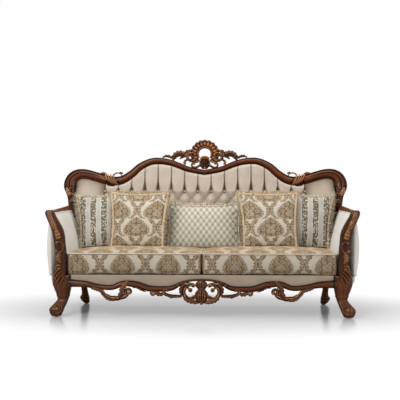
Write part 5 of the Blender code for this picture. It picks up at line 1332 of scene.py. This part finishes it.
def makeButtonedBack():
    # the tufted face over even steps up to the top row of buttons and over shares of the height above it;
    # buttons
    # at the crossings of the folds
    cut = buttonedBack
    x = np.linspace(-cut["half"], cut["half"], cut["columns"] * cut["perTuft"] + 1)[None, :]
    columns = x * cut["columns"] * cut["pitch"] / 2 / cut["half"]
    top = railTopLine(x) - frameParts["edgeGap"]
    low = np.linspace(cut["bottom"], cut["topRow"], int(cut["rows"] * 0.62), endpoint=False)[:, None]
    high = cut["topRow"] + np.linspace(0, 1, cut["rows"] - len(low))[:, None] * (top - cut["topRow"])
    rise = np.vstack([low + 0 * x, high])
    swell = tuftSwell(columns, rise, top)
    soft = 0.0012 * ripple(x, rise, 0.55)
    front = np.stack([x + 0 * rise, -(cut["edge"] + cut["puff"] * swell + soft * swell), rise], -1)
    # the swell is kept as relief, so the back's material paints shade in the folds, where it is low
    shape = slabShape(front, -frameParts["gap"], flatCloth(x, rise), onBack, swell)
    buttons = []
    step = 2 * cut["half"] / cut["columns"]
    for row in range(cut["buttonRows"]):
        rise = cut["topRow"] - row * cut["rowPitch"]
        if rise < cut["lowestButton"]:
            break
        count = cut["columns"] + 1 - row % 2
        for place in (np.arange(count) - (count - 1) / 2) * step:
            button = ballGrid((place, -cut["buttonDepth"][min(row, 1)], rise), cut["button"], 0.62, 8, 14)
            buttons.append(surface(onBack(button), 0.5))
    addPiece("backPadButtoned", shape, "backCloth", nodes=["back_pad_tufted"], fill=0.9)
    addPiece("backPadButtons", merged(buttons), "button")


backEnd = {"edge": 0.014, "puff": 0.026, "slack": 0.0015, "meetShare": 0.90, "around": 110, "across": 50}


def makeBackEnds():
    # smooth pads beside the buttoned one, from a straight inner side to the frame's edge, full in the
    # middle
    cut = backEnd
    bottom = buttonedBack["bottom"]
    startX = buttonedBack["half"] + frameParts["edgeGap"]
    startTop = railTopLine(startX) - frameParts["edgeGap"]
    meetX = cut["meetShare"] * insideLine[insideCorner, 0]
    meet = int(np.argmin(np.abs(insideLine[:insideCorner, 0] - meetX)))
    outline = insideLine[meet:][insideLine[meet:, 1] > bottom][::-1]
    share = np.linspace(0, 1, cut["around"])
    outer = evenly(outline, cut["around"], 2)
    inner = np.column_stack([np.full_like(share, startX), bottom + share * (startTop - bottom)])
    across = np.linspace(0, 1, cut["across"])
    grid = inner[:, None] * (1 - across[None, :, None]) + outer[:, None] * across[None, :, None]
    x = grid[..., 0]
    rise = np.minimum(grid[..., 1], railTopLine(x) - frameParts["edgeGap"])
    swell = hill(across)[None, :] ** 0.42 * hill(share)[:, None] ** 0.35
    depth = cut["edge"] + cut["puff"] * swell + cut["slack"] * swell * ripple(x, rise, 0.6, 1.0)
    front = np.stack([x, -depth, rise], -1)
    # the relief falls towards the pad's edges, so the back's material paints shade there, by the frame
    shape = slabShape(front, -frameParts["gap"], flatCloth(x, rise), onBack, 0.50 * swell ** 1.6)
    addPairs(("backPadEnd_SIDE_cloth", shape, "backCloth", "back_pad_end", 0.85))


armPad = {"shares": [(0.00, 0.10), (0.18, 0.02), (0.36, 0.06), (0.52, 0.34), (0.66, 0.72), (0.80, 1.18),
                     (0.92, 1.60), (1.00, 1.98)],
          "thick": 0.046, "drop": 0.020, "swell": 0.006, "boardBottom": 1.026, "boardTop": 1.086,
          "boardDrop": 0.050,
          "welt": 0.0042, "bulge": 0.050, "panelEdge": 0.018, "panelInside": 1.0953, "panelLimit": 1.1635}


def boardX(z):
    # inner face of the leaning arm board at a height
    top = armRail["top"] - armPad["boardDrop"]
    share = (z - seat["deckTop"]) / (top - seat["deckTop"])
    return armPad["boardBottom"] + share * (armPad["boardTop"] - armPad["boardBottom"])


def makeArmPads():
    # the inner pad runs up the board and rolls over its top; the outer panel bows out between the post and
    # the
    # back post; welts lie along their open edges
    cut = armPad
    low = seat["railTop"] + 0.0003
    topZ = armRail["top"] - cut["drop"]
    frontY = armPost["y"] + armPost["depth"] / 2 + 0.0003
    shares = smoothRows(cut["shares"], 70, 1)
    z = (low + shares[:, 0] * (topZ - low))[None, :]
    t = np.linspace(0, 1, 90)[:, None]
    y = frontY + t * (backDepth(z, -back["front"] + 0.0003) - frontY)
    swell = hill(t) ** 0.42
    x = seat["halfWidth"] + cut["thick"] * shares[:, 1][None, :] + cut["swell"] * (1 - swell)
    wall = np.minimum(boardX(z) - 0.0063, armRail["x"] - armRail["radius"] - frameParts["edgeGap"])
    x = np.minimum(x + 0.0010 * swell * ripple(y, z, 0.5, 0.4), wall - 0.004)
    zz = z + 0 * y
    pad = slabShape(np.stack([x, y, zz], -1), np.stack([wall + 0 * y, y, zz], -1), flatCloth(y, zz))
    topLine = np.column_stack([x[:, -1] + 0.001, y[:, -1], np.full(len(t), topZ + 0.0005)])
    frontLine = np.column_stack([x[0, 8:], y[0, 8:] + 0.002, zz[0, 8:]])
    welts = merged([surface(weltTube(topLine, cut["welt"])), surface(weltTube(frontLine, cut["welt"] * 0.9))])
    z = np.linspace(seat["railTop"] - 0.053, armRail["top"] - 2 * armRail["radius"] - 0.004, 80)[None, :]
    share = np.linspace(0, 1, 80)[None, :]
    start = np.where(z < seat["railTop"] + 0.0003, frontLeg["y"] + frontLeg["size"] / 2 + 0.0003, frontY)
    end = backDepth(z, -back["front"] + 0.0003)
    y = start + t * (end - start)
    bulge = cut["bulge"] * swell * np.sin(math.pi * share ** 1.15).clip(0) ** 0.72
    x = cut["panelInside"] + cut["panelEdge"] + bulge - 0.0005 + 0.0015 * swell * ripple(y, z, 0.6, 2.2)
    x = np.minimum(x, cut["panelLimit"])
    zz = z + 0 * y
    rear = np.stack([np.full_like(x, cut["panelInside"]), y, zz], -1)
    panel = slabShape(np.stack([x, y, zz], -1), rear, flatCloth(y, zz))
    lines = [np.column_stack([x[2:-2, k], y[2:-2, k], zz[2:-2, k]]) for k in (0, -1)]
    lines.append(np.column_stack([x[0, 2:-2], y[0, 2:-2] + 0.004, zz[0, 2:-2]]))
    panelWelts = merged([surface(weltTube(line, cut["welt"])) for line in lines])
    addPairs(("armPadInner", pad, "armCloth", "inner_arm_pad", 0.9),
             ("armPadWelts", welts, "armPiping", None, None),
             ("armPanelOuter", panel, "armCloth", "outer_side_panel", 0.9),
             ("armPanelWelts", panelWelts, "armPiping", None, None))


frontBand = {"end": 0.9497, "front": -0.418, "rear": -0.4055, "puff": 0.0040, "taper": 0.03, "slack": 0.0008}


def makeFrontBand():
    # soft strip between the apron's line and the deck, puffed by a root of a parabola
    cut = frontBand
    x = np.linspace(-cut["end"], cut["end"], 360)[:, None]
    v = np.linspace(0, 1, 40)[None, :]
    low = np.interp(np.abs(x), apronRows[:, 0], apronRows[:, 1])
    z = low + v * (seat["deckTop"] - low)
    puff = cut["puff"] * hill(v) ** 0.5 * np.clip((cut["end"] - np.abs(x)) / cut["taper"], 0, 1) ** 0.5
    y = cut["front"] - puff - cut["slack"] * ripple(x, z, 0.35, 3.0) * (puff > 0)
    shape = slabShape(np.stack([x + 0 * z, y, z], -1), cut["rear"], flatCloth(x, z))
    addPiece("frontBandCloth", shape, "bandCloth", nodes=["front_band"], fill=1.0)


outsideBack = {"front": 0.0303, "rear": 0.0403, "low": 0.020, "puff": 0.0045, "taper": 0.06, "slack": 0.0010,
               "welt": 0.0040, "weltDepth": 0.0405, "weltLow": 0.0215}


def makeOutsideBack():
    # one panel up to the frame's middle line; past the lower corners it ends on the leaning side line
    cut = outsideBack
    top = int(np.argmax(frameRows[:, 0]))
    limit = frameRows[top, 0]
    x = limit * np.sin(np.linspace(-math.pi / 2, math.pi / 2, 260))[:, None]
    v = np.linspace(0, 1, 90)[None, :]
    high = np.interp(np.abs(x), frameRows[:top, 0], frameRows[:top, 1])
    side = frameRows[top:][::-1]
    low = np.maximum(np.interp(np.abs(x), side[:, 0], side[:, 1], left=cut["low"]), cut["low"])
    low = np.minimum(low, high - 0.0005)
    rise = low + v * (high - low)
    puff = cut["puff"] * hill(v) ** 0.4 * np.clip((limit - np.abs(x)) / cut["taper"], 0, 1) ** 0.5
    y = cut["rear"] + puff + cut["slack"] * ripple(x, rise, 0.8, 5.0) * (puff > 0)
    shape = slabShape(np.stack([x + 0 * rise, y, rise], -1), cut["front"], flatCloth(x, rise), onBack)
    right = frameRows[frameRows[:, 1] > 0.022, :2][::3]
    outline = np.vstack([right[::-1], right[1:] * (-1, 1)])
    outline = np.column_stack([outline[:, 0] * 0.998, np.full(len(outline), cut["weltDepth"]),
                               outline[:, 1] - 0.001])
    ends = np.linspace(outline[0, 0], outline[-1, 0], 80)
    bottom = np.column_stack([ends, np.full(80, cut["weltDepth"]), np.full(80, cut["weltLow"])])
    welts = merged([surface(onBack(weltTube(line, cut["welt"]))) for line in (outline, bottom)])
    addPiece("outsideBackCloth", shape, "plainBack", nodes=["outside_back"], fill=1.0)
    addPiece("outsideBackWelts", welts, "armPiping")


def makeDeckAndDust():
    # two flat stretched cloths, as large as their CAD nodes
    sink = 0.0004
    for name, node in (("seatDeckCloth", "seat_deck"), ("dustCoverCloth", "dust_cover")):
        low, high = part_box(node)
        x = np.linspace(low[0], high[0], 80)[:, None]
        y = np.linspace(low[1], high[1], 40)[None, :] - shiftY
        sag = sink * ripple(x, y, 0.5)
        ring = ringed(np.stack([x + 0 * y, y + 0 * x, high[2] - sink + sag], -1))
        for line in (ring[0], ring[-1], ring[:, 0], ring[:, -1]):
            line[:, 2] = low[2]
        piece = addPiece(name, surface(ring, wrap=False), "deck", nodes=[node])


# loose cushions and pillows, filled by a short cloth run

def cubeShape(cells, place):
    # six grids of a cube from -1 to 1, closer together at its edges as a sine is, carried to their places
    # by one
    # function
    quarter = math.pi / 2 * 0.86
    shapes = []
    for axis in range(3):
        others = [k for k in range(3) if k != axis]
        a, b = (np.sin(np.linspace(-1, 1, cells[k]) * quarter) / math.sin(quarter) for k in others)
        for sign in (-1, 1):
            grid = np.zeros((len(a), len(b), 3))
            grid[..., others[0]] = a[:, None]
            grid[..., others[1]] = b[None, :]
            grid[..., axis] = sign
            shapes.append(surface(place(grid), wrap=False))
    return merged(shapes)


def filledMesh(name, shape, voxel, pinned, cap, pressure=4.0, frames=20, stiff=12.0):
    # voxel remesh, then pressure from inside for some frames, each point held to its first place past the
    # cap
    centred = dict(shape, points=shape["points"] - (0, shiftY, 0))
    source = bpy.data.objects.new(name + "Start", meshOf(name + "Start", centred, 1e-4))
    scene = bpy.context.scene
    scene.collection.objects.link(source)
    remesh = source.modifiers.new("remesh", "REMESH")
    remesh.mode, remesh.voxel_size = "VOXEL", voxel
    dependency = bpy.context.evaluated_depsgraph_get()
    mesh = bpy.data.meshes.new_from_object(source.evaluated_get(dependency))
    bpy.data.objects.remove(source, do_unlink=True)
    count = len(mesh.vertices)
    start = np.empty(count * 3, np.float32)
    mesh.vertices.foreach_get("co", start)
    start = start.reshape(-1, 3).astype(float)
    points = start.copy()
    bag = bpy.data.objects.new(name + "Bag", mesh)
    scene.collection.objects.link(bag)
    group = bag.vertex_groups.new(name="pin")
    weight = pinned(start)
    for level in (0.25, 0.5, 0.75, 1.0):
        chosen = np.nonzero((weight > level - 0.125) & (weight <= level + 0.125))[0]
        group.add(chosen.tolist(), level, "REPLACE")
    cloth = bag.modifiers.new("filling", "CLOTH")
    settings = cloth.settings
    settings.quality, settings.mass = 4, 0.25
    settings.tension_stiffness = settings.compression_stiffness = stiff
    settings.shear_stiffness, settings.bending_stiffness = stiff * 0.5, 0.6
    settings.use_pressure, settings.uniform_pressure_force = True, pressure
    settings.vertex_group_mass = "pin"
    settings.effector_weights.gravity = 0.0
    cloth.collision_settings.use_collision = False
    cloth.point_cache.frame_start, cloth.point_cache.frame_end = 1, frames
    for frameNumber in range(1, frames + 1):
        scene.frame_set(frameNumber)
    shaped = bag.evaluated_get(bpy.context.evaluated_depsgraph_get()).to_mesh()
    shaped.vertices.foreach_get("co", flat := np.empty(count * 3, np.float32))
    points = flat.reshape(-1, 3).astype(float)
    scene.frame_set(1)
    bpy.data.objects.remove(bag, do_unlink=True)
    move = points - start
    far = np.linalg.norm(move, axis=1, keepdims=True)
    points = start + move * np.minimum(1, cap / np.maximum(far, 1e-9))
    return mesh, start, points


def dressMesh(mesh, points, clothAt, name, material, body, node, place):
    # the filled form as a finished piece: its own copy, placed, with the pattern's coordinates kept
    made = mesh.copy()
    made.name = name
    placed = place(points) + (0, shiftY, 0)
    made.vertices.foreach_set("co", placed.astype(np.float32).ravel())
    keepValues(made, "cloth", "FLOAT_VECTOR", clothAt)
    work = bmesh.new()
    work.from_mesh(made)
    bmesh.ops.recalc_face_normals(work, faces=work.faces)
    work.to_mesh(made)
    work.free()
    made.shade_smooth()
    made.materials.clear()
    made.materials.append(materials[material])
    piece = bpy.data.objects.new(name, made)
    bpy.context.scene.collection.objects.link(piece)
    smooth = piece.modifiers.new("smooth", "SUBSURF")
    smooth.levels = smooth.render_levels = 1
    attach(piece, body)
    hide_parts(node)
    return piece


seatCushion = {"halfX": 0.4868, "thick": 0.156, "crown": 0.020, "voxel": 0.0100, "cap": 0.010,
               "piping": 0.0044,
               "draw": 0.004, "tuck": 0.014, "gap": 0.003, "sink": 0.0012, "patternAt": (0.084, 0.074)}


def makeSeatCushions():
    # a box form filled by the cloth run, with a slight ripple on top and wrinkles along the front, and its
    # piping;
    # both cushions share one mesh, and their pattern is set by their own place
    cut = seatCushion
    rearY = backDepth(seat["deckTop"], 0.048) - frameParts["edgeGap"]
    halfY, halfZ = (rearY - seat["frontY"]) / 2, cut["thick"] / 2
    halfX = cut["halfX"]

    def boxForm(points, inset=0.0):
        # sides pulled in between the corners and tucked under at the bottom, top crowned between its four
        # edges
        a, b, c = points[..., 0], points[..., 1], points[..., 2]
        tuck = cut["tuck"] * np.clip(-c, 0, 1) ** 6
        reach = (np.abs(a) ** 9 + np.abs(b) ** 9) ** (1 / 9)
        crown = cut["crown"] * (1 - np.minimum(reach, 1) ** 2.6) * np.clip(c, 0, 1)
        round_ = 0.006 * np.abs(a * b) ** 10
        x = a * (halfX - inset - cut["draw"] * (1 - b * b) - round_)
        y = b * (halfY - inset - tuck - cut["draw"] * (1 - a * a) - round_)
        return np.stack([x, y, c * (halfZ - cut["sink"]) + crown], -1)

    shape = cubeShape((70, 46, 14), lambda p: boxForm(p, 0.002))

    def pinned(p):
        # held along the upper and lower edges
        rim = np.maximum(np.abs(p[:, 0]) / (halfX - 0.005), np.abs(p[:, 1]) / (halfY - 0.005))
        return np.where((halfZ - 0.003 - np.abs(p[:, 2]) < 0.007) & (rim > 0.975), 1.0, 0.0)

    mesh, start, points = filledMesh("seatCushionFill", shape, cut["voxel"], pinned, cut["cap"])
    top = np.abs(start[:, 2]) > halfZ - 0.012
    points[:, 2] += np.where(start[:, 2] > 0, 0.0012 * ripple(start[:, 0], start[:, 1], 0.5), 0)
    points[:, 2] = np.maximum(points[:, 2], -halfZ + 0.0005)
    wrinkle = 0.0016 * np.sin(start[:, 0] * 61 + 1.3 * np.sin(start[:, 0] * 23))
    wrinkle *= bump(np.abs(start[:, 2]), 0.050, 0.022)
    frontFace = (start[:, 1] < -halfY + 0.03) & ~top
    points[:, 1] += np.where(frontFace, wrinkle, 0)
    centreY = (rearY + seat["frontY"]) / 2
    centreZ = seat["deckTop"] + 0.0010 + halfZ
    isFront = np.abs(start[:, 1]) / halfY > np.abs(start[:, 0]) / halfX
    across = np.where(top | isFront, start[:, 0], start[:, 1])
    up = np.where(top, halfZ + (start[:, 1] + halfY), start[:, 2])
    clothAt = flatCloth(across + cut["patternAt"][0], up + cut["patternAt"][1])
    outline = np.linspace(0, 1, 420, endpoint=False)
    corner = np.array([(-1, -1), (1, -1), (1, 1), (-1, 1), (-1, -1)], float)
    ring = columnsAt(outline * 4, range(5), corner)
    line = boxForm(np.column_stack([ring, np.ones(len(ring))]), 0.0005)
    line = np.vstack([line, line[:1]]) - (0, 0, 0.002)
    for side in (-1, 1):
        name = sideName(side)
        centre = np.array([side * (halfX + cut["gap"]), centreY, centreZ])
        mirror = np.array([side, 1, 1])
        body = "seat_cushion_" + name + "_body"
        dressMesh(mesh, points, clothAt, "seatCushionFilled_" + name, "seatDamask", body,
                  "seat_cushion_" + name, lambda p: p * mirror + centre)
        cord = surface(weltTube(line * mirror + centre, cut["piping"]))
        addPiece("seatCushionPiping_" + name, cord, "piping", body)


pillows = {
    "tilt": math.radians(13), "turn": math.radians(9), "lean": math.radians(2), "swell": 0.050, "edge": 0.006,
    "draw": 0.016, "voxel": 0.0078, "cap": 0.022, "solidSwell": 0.062, "limit": 0.066, "strands": 1600,
    "striped": {"width": 0.430, "height": 0.415, "flare": 0.15, "inset": 0.016, "cloth": "striped",
                "fringe": "paleFringe", "sides": (-1, 1),
                "trim": {"right": (0.046, 0.008), "top": (0.018, 0.006), "left": (0.014, 0.004)}},
    "damask": {"width": 0.455, "height": 0.415, "flare": 0.12, "inset": 0.016, "cloth": "pillowDamask",
               "fringe": "tanFringe", "sides": (-1, 1),
               "trim": {"left": (0.032, 0.0125), "right": (0.028, 0.0115), "top": (0.030, 0.0125),
                        "bottom": (0.012, 0.006)}},
    "lumbar": {"width": 0.565, "height": 0.340, "flare": 0.0, "inset": 0.010, "cloth": "lattice",
               "fringe": "paleFringe", "sides": (1,),
               "trim": {"left": (0.028, 0.007), "right": (0.028, 0.007), "top": (0.024, 0.0085),
                        "bottom": (0.006, 0.004)}}}


def pillowForm(p, width, height, flare, swellSize, edge):
    # corners stay out while the sides draw in; thickness follows the product of both side profiles
    a, b, c = p[..., 0], p[..., 1], p[..., 2]
    halfX = width / 2 * (1 - flare * (1 - b) / 2)
    swell = swellSize * np.clip((1 - a * a) * (1 - b * b), 0, 1) ** 0.55
    x = a * (halfX - pillows["draw"] * (1 - b * b))
    z = b * (height / 2 - np.where(b > 0, pillows["draw"], 0) * (1 - a * a))
    return np.stack([x, c * (edge / 2 + swell), z], -1)


def turnMatrix(tilt, lean, turn):
    # tilt about x first, then lean about y, then turn about z
    matrix = np.eye(3)
    for angle, (a, b) in ((tilt, (1, 2)), (lean, (2, 0)), (turn, (0, 1))):
        step = np.eye(3)
        step[a, a] = step[b, b] = math.cos(angle)
        step[a, b], step[b, a] = -math.sin(angle), math.sin(angle)
        matrix = step @ matrix
    return matrix


def pillowPlace(stem, node, side):
    # turned as its CAD solid is, and moved so that both boxes have the same middle
    size = pillows[stem]
    cells = np.array([[a, b, c] for a in np.linspace(-1, 1, 21) for b in np.linspace(-1, 1, 21) for c in (-1,
        1)])
    solid = pillowForm(cells, size["width"], size["height"], size["flare"], pillows["solidSwell"],
                       pillows["edge"])
    lean = pillows["lean"] if stem == "striped" else 0
    turn = pillows["turn"] if stem == "damask" else 0
    matrix = turnMatrix(-pillows["tilt"], side * lean, side * turn)
    turned = solid @ matrix.T
    low, high = (np.array(v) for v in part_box(node))
    middle = (low + high) / 2 - (0, shiftY, 0) - (turned.min(0) + turned.max(0)) / 2
    return lambda p: p @ matrix.T + middle


def fringeShape(line, outward, length, seed, thick=0.0022, spread=0.20):
    # strands that spring from a line: each a thin three-sided spike of a few faces, bent and spread a
    # little;
    # a wave along the line makes them longer and lighter in clumps
    chance = np.random.default_rng(seed)
    arc = arcOf(line)
    count = int(arc[-1] * pillows["strands"])
    at = np.sort(chance.uniform(0, arc[-1], count))
    foot, out = columnsAt(at, arc, line), columnsAt(at, arc, outward)
    out = out / np.linalg.norm(out, axis=1, keepdims=True)
    foot[:, 1] += chance.uniform(-0.004, 0.004, count)
    out = out + chance.normal(0, spread, (count, 3))
    out[:, 1] += chance.normal(0, spread * 1.3, count)
    clump = np.sin(2 * math.pi * at / 0.021 + 2.2 * np.sin(2 * math.pi * at / 0.13))
    long = length * chance.uniform(0.80, 1.05, count) * (1 + 0.14 * clump)
    steps = np.array([0.0, 0.35, 0.7, 1.0])
    bend = chance.normal(0, 0.15, (count, 3))
    reach = out[:, None] * steps[None, :, None] + bend[:, None] * (steps ** 2)[None, :, None]
    spine = foot[:, None] + long[:, None, None] * reach
    radius = thick * np.array([1.0, 1.15, 0.9, 0.35])[None, :, None, None]
    phi = np.array([0.3, 2.4, 4.5])
    ring = np.stack([np.cos(phi), np.sin(phi), 0.6 * np.sin(phi + 1)], -1)[None, None]
    grid = spine[:, :, None] + radius * ring
    base = (np.arange(count) * 12)[:, None]
    quads = [base + k * 3 + np.array([[j, (j + 1) % 3, 3 + (j + 1) % 3,
                                       3 + j]]) for k in range(3) for j in range(3)]
    tone = np.repeat(0.27 + 0.19 * clump + chance.normal(0, 0.08, count), 12)
    return {"points": grid.reshape(-1, 3), "quads": np.concatenate(quads), "relief": tone,
            "cloth": np.column_stack([tone, tone * 0.37, tone])}


def rimLine(stem, part, inset=0.006, count=160):
    # the seam of a pillow along one of its four sides, with the direction away from its middle; towards the
    # corners the direction leans along the seam with the cube of the share
    size = pillows[stem]
    t, edge = np.linspace(-1, 1, count), np.full(count, 1.0 if part in ("right", "top") else -1.0)
    upright = part in ("left", "right")
    a, b = (edge, t) if upright else (t, edge)
    width, height = size["width"] - inset, size["height"] - inset
    line = pillowForm(np.column_stack([a, b, 0 * a]), width, height, size["flare"], 0.0, 0.0)
    lean = 0.9 * t ** 3
    return line, np.column_stack([edge, 0 * t, lean] if upright else [lean, 0 * t, edge])


def makePillows():
    # each kind is filled once and used for its one or two pillows, with pleats along the seam and a fringe
    # whose
    # strands and twisted core follow the trimmed sides
    seedNumber = 100
    for stem in ("striped", "damask", "lumbar"):
        size = pillows[stem]
        width, height, flare, inset = (size[key] for key in ("width", "height", "flare", "inset"))
        shape = cubeShape((44, 40, 3), lambda p: pillowForm(p, width - inset, height - inset, flare,
            pillows["swell"],
                                                            0.008))

        def pinned(p):
            # held along the seam
            b = np.clip(p[:, 2] / (height / 2), -1, 1)
            halfX = (width / 2) * (1 - flare * (1 - b) / 2) - pillows["draw"] * (1 - b * b)
            rim = np.maximum(np.abs(p[:, 0]) / halfX, np.abs(b))
            return np.where((np.abs(p[:, 1]) < 0.0075) & (rim > 0.93), 1.0, 0.0)

        mesh, start, points = filledMesh("pillowFill" + stem, shape, pillows["voxel"], pinned, pillows["cap"],
                                         3.0)
        points[:, 0] *= (width / 2 - 0.001) / np.abs(points[:, 0]).max()
        points[:, 2] *= (height / 2 - 0.001) / np.abs(points[:, 2]).max()
        points[:, 1] = np.clip(points[:, 1], -pillows["limit"], pillows["limit"])
        rimShare = np.maximum(np.abs(start[:, 0]) / (width / 2), np.abs(start[:, 2]) / (height / 2)).clip(0,
            1)
        angle = np.arctan2(start[:, 2], start[:, 0])
        pleats = 0.0022 * np.sin(angle * 46 + 2 * np.sin(angle * 7)) * smoothStep(0.60, 0.90, rimShare)
        points[:, 1] += np.sign(start[:, 1]) * (pleats + 0.0014 * ripple(start[:, 0], start[:, 2], 0.30, 1.0))
        for side in size["sides"]:
            label = stem if len(size["sides"]) == 1 else stem + "_" + sideName(side)
            place = pillowPlace(stem, "pillow_" + label, side)
            mirror = np.array([side, 1, 1])
            body = "pillow_" + label + "_body"
            dressMesh(mesh, points, flatCloth(start[:, 0], start[:, 2]), "pillowFilled_" + label,
                      size["cloth"], body,
                      "pillow_" + label, lambda p: place(p * mirror))
            trims = []
            for part, (length, core) in size["trim"].items():
                seedNumber += 1
                line, out = rimLine(stem, part)
                trims.append(fringeShape(line, out, length, seedNumber))
                trims.append(surface(weltTube(line + 0.3 * length * out, core, 90)))
            trim = merged(trims)
            trim["points"] = place(trim["points"] * mirror)
            addPiece("pillowFringe_" + label, trim, size["fringe"], body, carved=False)


makeButtonedBack()
makeBackEnds()
makeArmPads()
makeFrontBand()
makeOutsideBack()
makeDeckAndDust()
print("fixed upholstery ready")
makeSeatCushions()
makePillows()
print("cushions and pillows ready")


def dressKeptNodes():
    # what stays of the CAD: inside wood, springs, glides, the side rails and the covered arm boards
    plan = (("seat_rail", "innerWood"), ("cross_bearer", "innerWood"), ("corner_block", "innerWood"),
            ("back_upright", "innerWood"), ("back_lower_rail", "innerWood"), ("arm_board", "armCloth"),
            ("side_rail", "sideWood"), ("glide", "nylon"), ("seat_spring", "springSteel"))
    for name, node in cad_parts.items():
        for key, finish in plan:
            if key in name:
                for slot in node.material_slots:
                    slot.material = materials[finish]


def seenRays(tree):
    # 1 for camera, mirror and glass rays
    paths = tree.nodes.new("ShaderNodeLightPath")
    camera, glossy, glass = (Wire(tree, paths.outputs["Is " + kind + " Ray"])
                             for kind in ("Camera", "Glossy", "Transmission"))
    return (camera + glossy + glass).clamped()


studioFloor = {"half": 14, "color": (0.49, 0.49, 0.49, 1), "rough": 0.20, "specular": 0.40, "squeeze": 0.55,
               "white": (0.58, 1.3), "lift": 0.01}


def makeStage():
    # a pale glossy floor that keeps the shadow near the sofa and turns to plain white with the distance,
    # for
    # camera, mirror and glass rays
    cut = studioFloor
    work = bmesh.new()
    bmesh.ops.create_grid(work, x_segments=1, y_segments=1, size=cut["half"])
    mesh = bpy.data.meshes.new("studioFloor")
    work.to_mesh(mesh)
    work.free()
    floor = bpy.data.objects.new("studioFloor", mesh)
    bpy.context.scene.collection.objects.link(floor)
    mesh.transform(Matrix.Translation((0, 0, -0.0002)))
    made = bpy.data.materials.new("studioFloor")
    made.use_nodes = True
    tree = made.node_tree
    shader = tree.nodes["Principled BSDF"]
    output = tree.nodes["Material Output"]
    shader.inputs["Base Color"].default_value = cut["color"]
    shader.inputs["Roughness"].default_value = cut["rough"]
    shader.inputs["Specular IOR Level"].default_value = cut["specular"]
    glow = tree.nodes.new("ShaderNodeEmission")
    glow.inputs["Strength"].default_value = 1.0
    x, y = splitXY(tree, objectPlace(tree))
    far = ((x * cut["squeeze"]) ** 2.0 + y ** 2.0) ** 0.5
    seen = seenRays(tree)
    mix = tree.nodes.new("ShaderNodeMixShader")
    plug(tree, mix.inputs[0], far.ease(*cut["white"]) * seen)
    tree.links.new(shader.outputs[0], mix.inputs[1])
    tree.links.new(glow.outputs[0], mix.inputs[2])
    lift = tree.nodes.new("ShaderNodeAddShader")
    faint = tree.nodes.new("ShaderNodeEmission")
    plug(tree, faint.inputs["Strength"], seen * cut["lift"])
    tree.links.new(mix.outputs[0], lift.inputs[0])
    tree.links.new(faint.outputs[0], lift.inputs[1])
    tree.links.new(lift.outputs[0], output.inputs["Surface"])
    mesh.materials.append(made)


lighting = {"world": 0.52, "target": (0, 0, 0.5),
            "lamps": {"keyLight": ((-2.2, -3.6, 3.4), (2.6, 2.0), 150.0),
                      "fillLight": ((3.4, -3.0, 1.8), (2.4, 2.0), 45.0),
                      "topLight": ((0, 0.4, 3.6), (3.6, 2.0), 60.0)}}


def makeLight(name, place, size, power):
    # a flat lamp turned to the target
    data = bpy.data.lights.new(name, "AREA")
    data.shape, data.size, data.size_y, data.energy = "RECTANGLE", size[0], size[1], power
    lamp = bpy.data.objects.new(name, data)
    lamp.location = place
    way = Vector(lighting["target"]) - Vector(place)
    lamp.rotation_euler = way.to_track_quat("-Z", "Y").to_euler()
    bpy.context.scene.collection.objects.link(lamp)


def makeWorld():
    # white to camera, mirror and glass rays, softer to the rest
    world = bpy.data.worlds.new("studio")
    bpy.context.scene.world = world
    world.use_nodes = True
    tree = world.node_tree
    background = tree.nodes["Background"]
    background.inputs["Color"].default_value = (1, 1, 1, 1)
    plug(tree, background.inputs["Strength"], seenRays(tree) * (1.0 - lighting["world"]) + lighting["world"])


view = {"lens": 73.0, "sensor": 36.0, "place": (0.20, -6.23, 0.94), "down": math.radians(0.9),
        "turn": math.radians(2.07)}


def makeCamera():
    # from the front, a little to the right, level with the arms
    data = bpy.data.cameras.new("studioCamera")
    data.lens, data.sensor_width, data.clip_start = view["lens"], view["sensor"], 0.05
    camera = bpy.data.objects.new("studioCamera", data)
    camera.location = view["place"]
    camera.rotation_euler = (math.pi / 2 - view["down"], 0, view["turn"])
    bpy.context.scene.collection.objects.link(camera)
    bpy.context.scene.camera = camera


dressKeptNodes()
makeStage()
makeWorld()
for name, (place, size, power) in lighting["lamps"].items():
    makeLight(name, place, size, power)
makeCamera()
bpy.context.scene.view_settings.view_transform = "Standard"
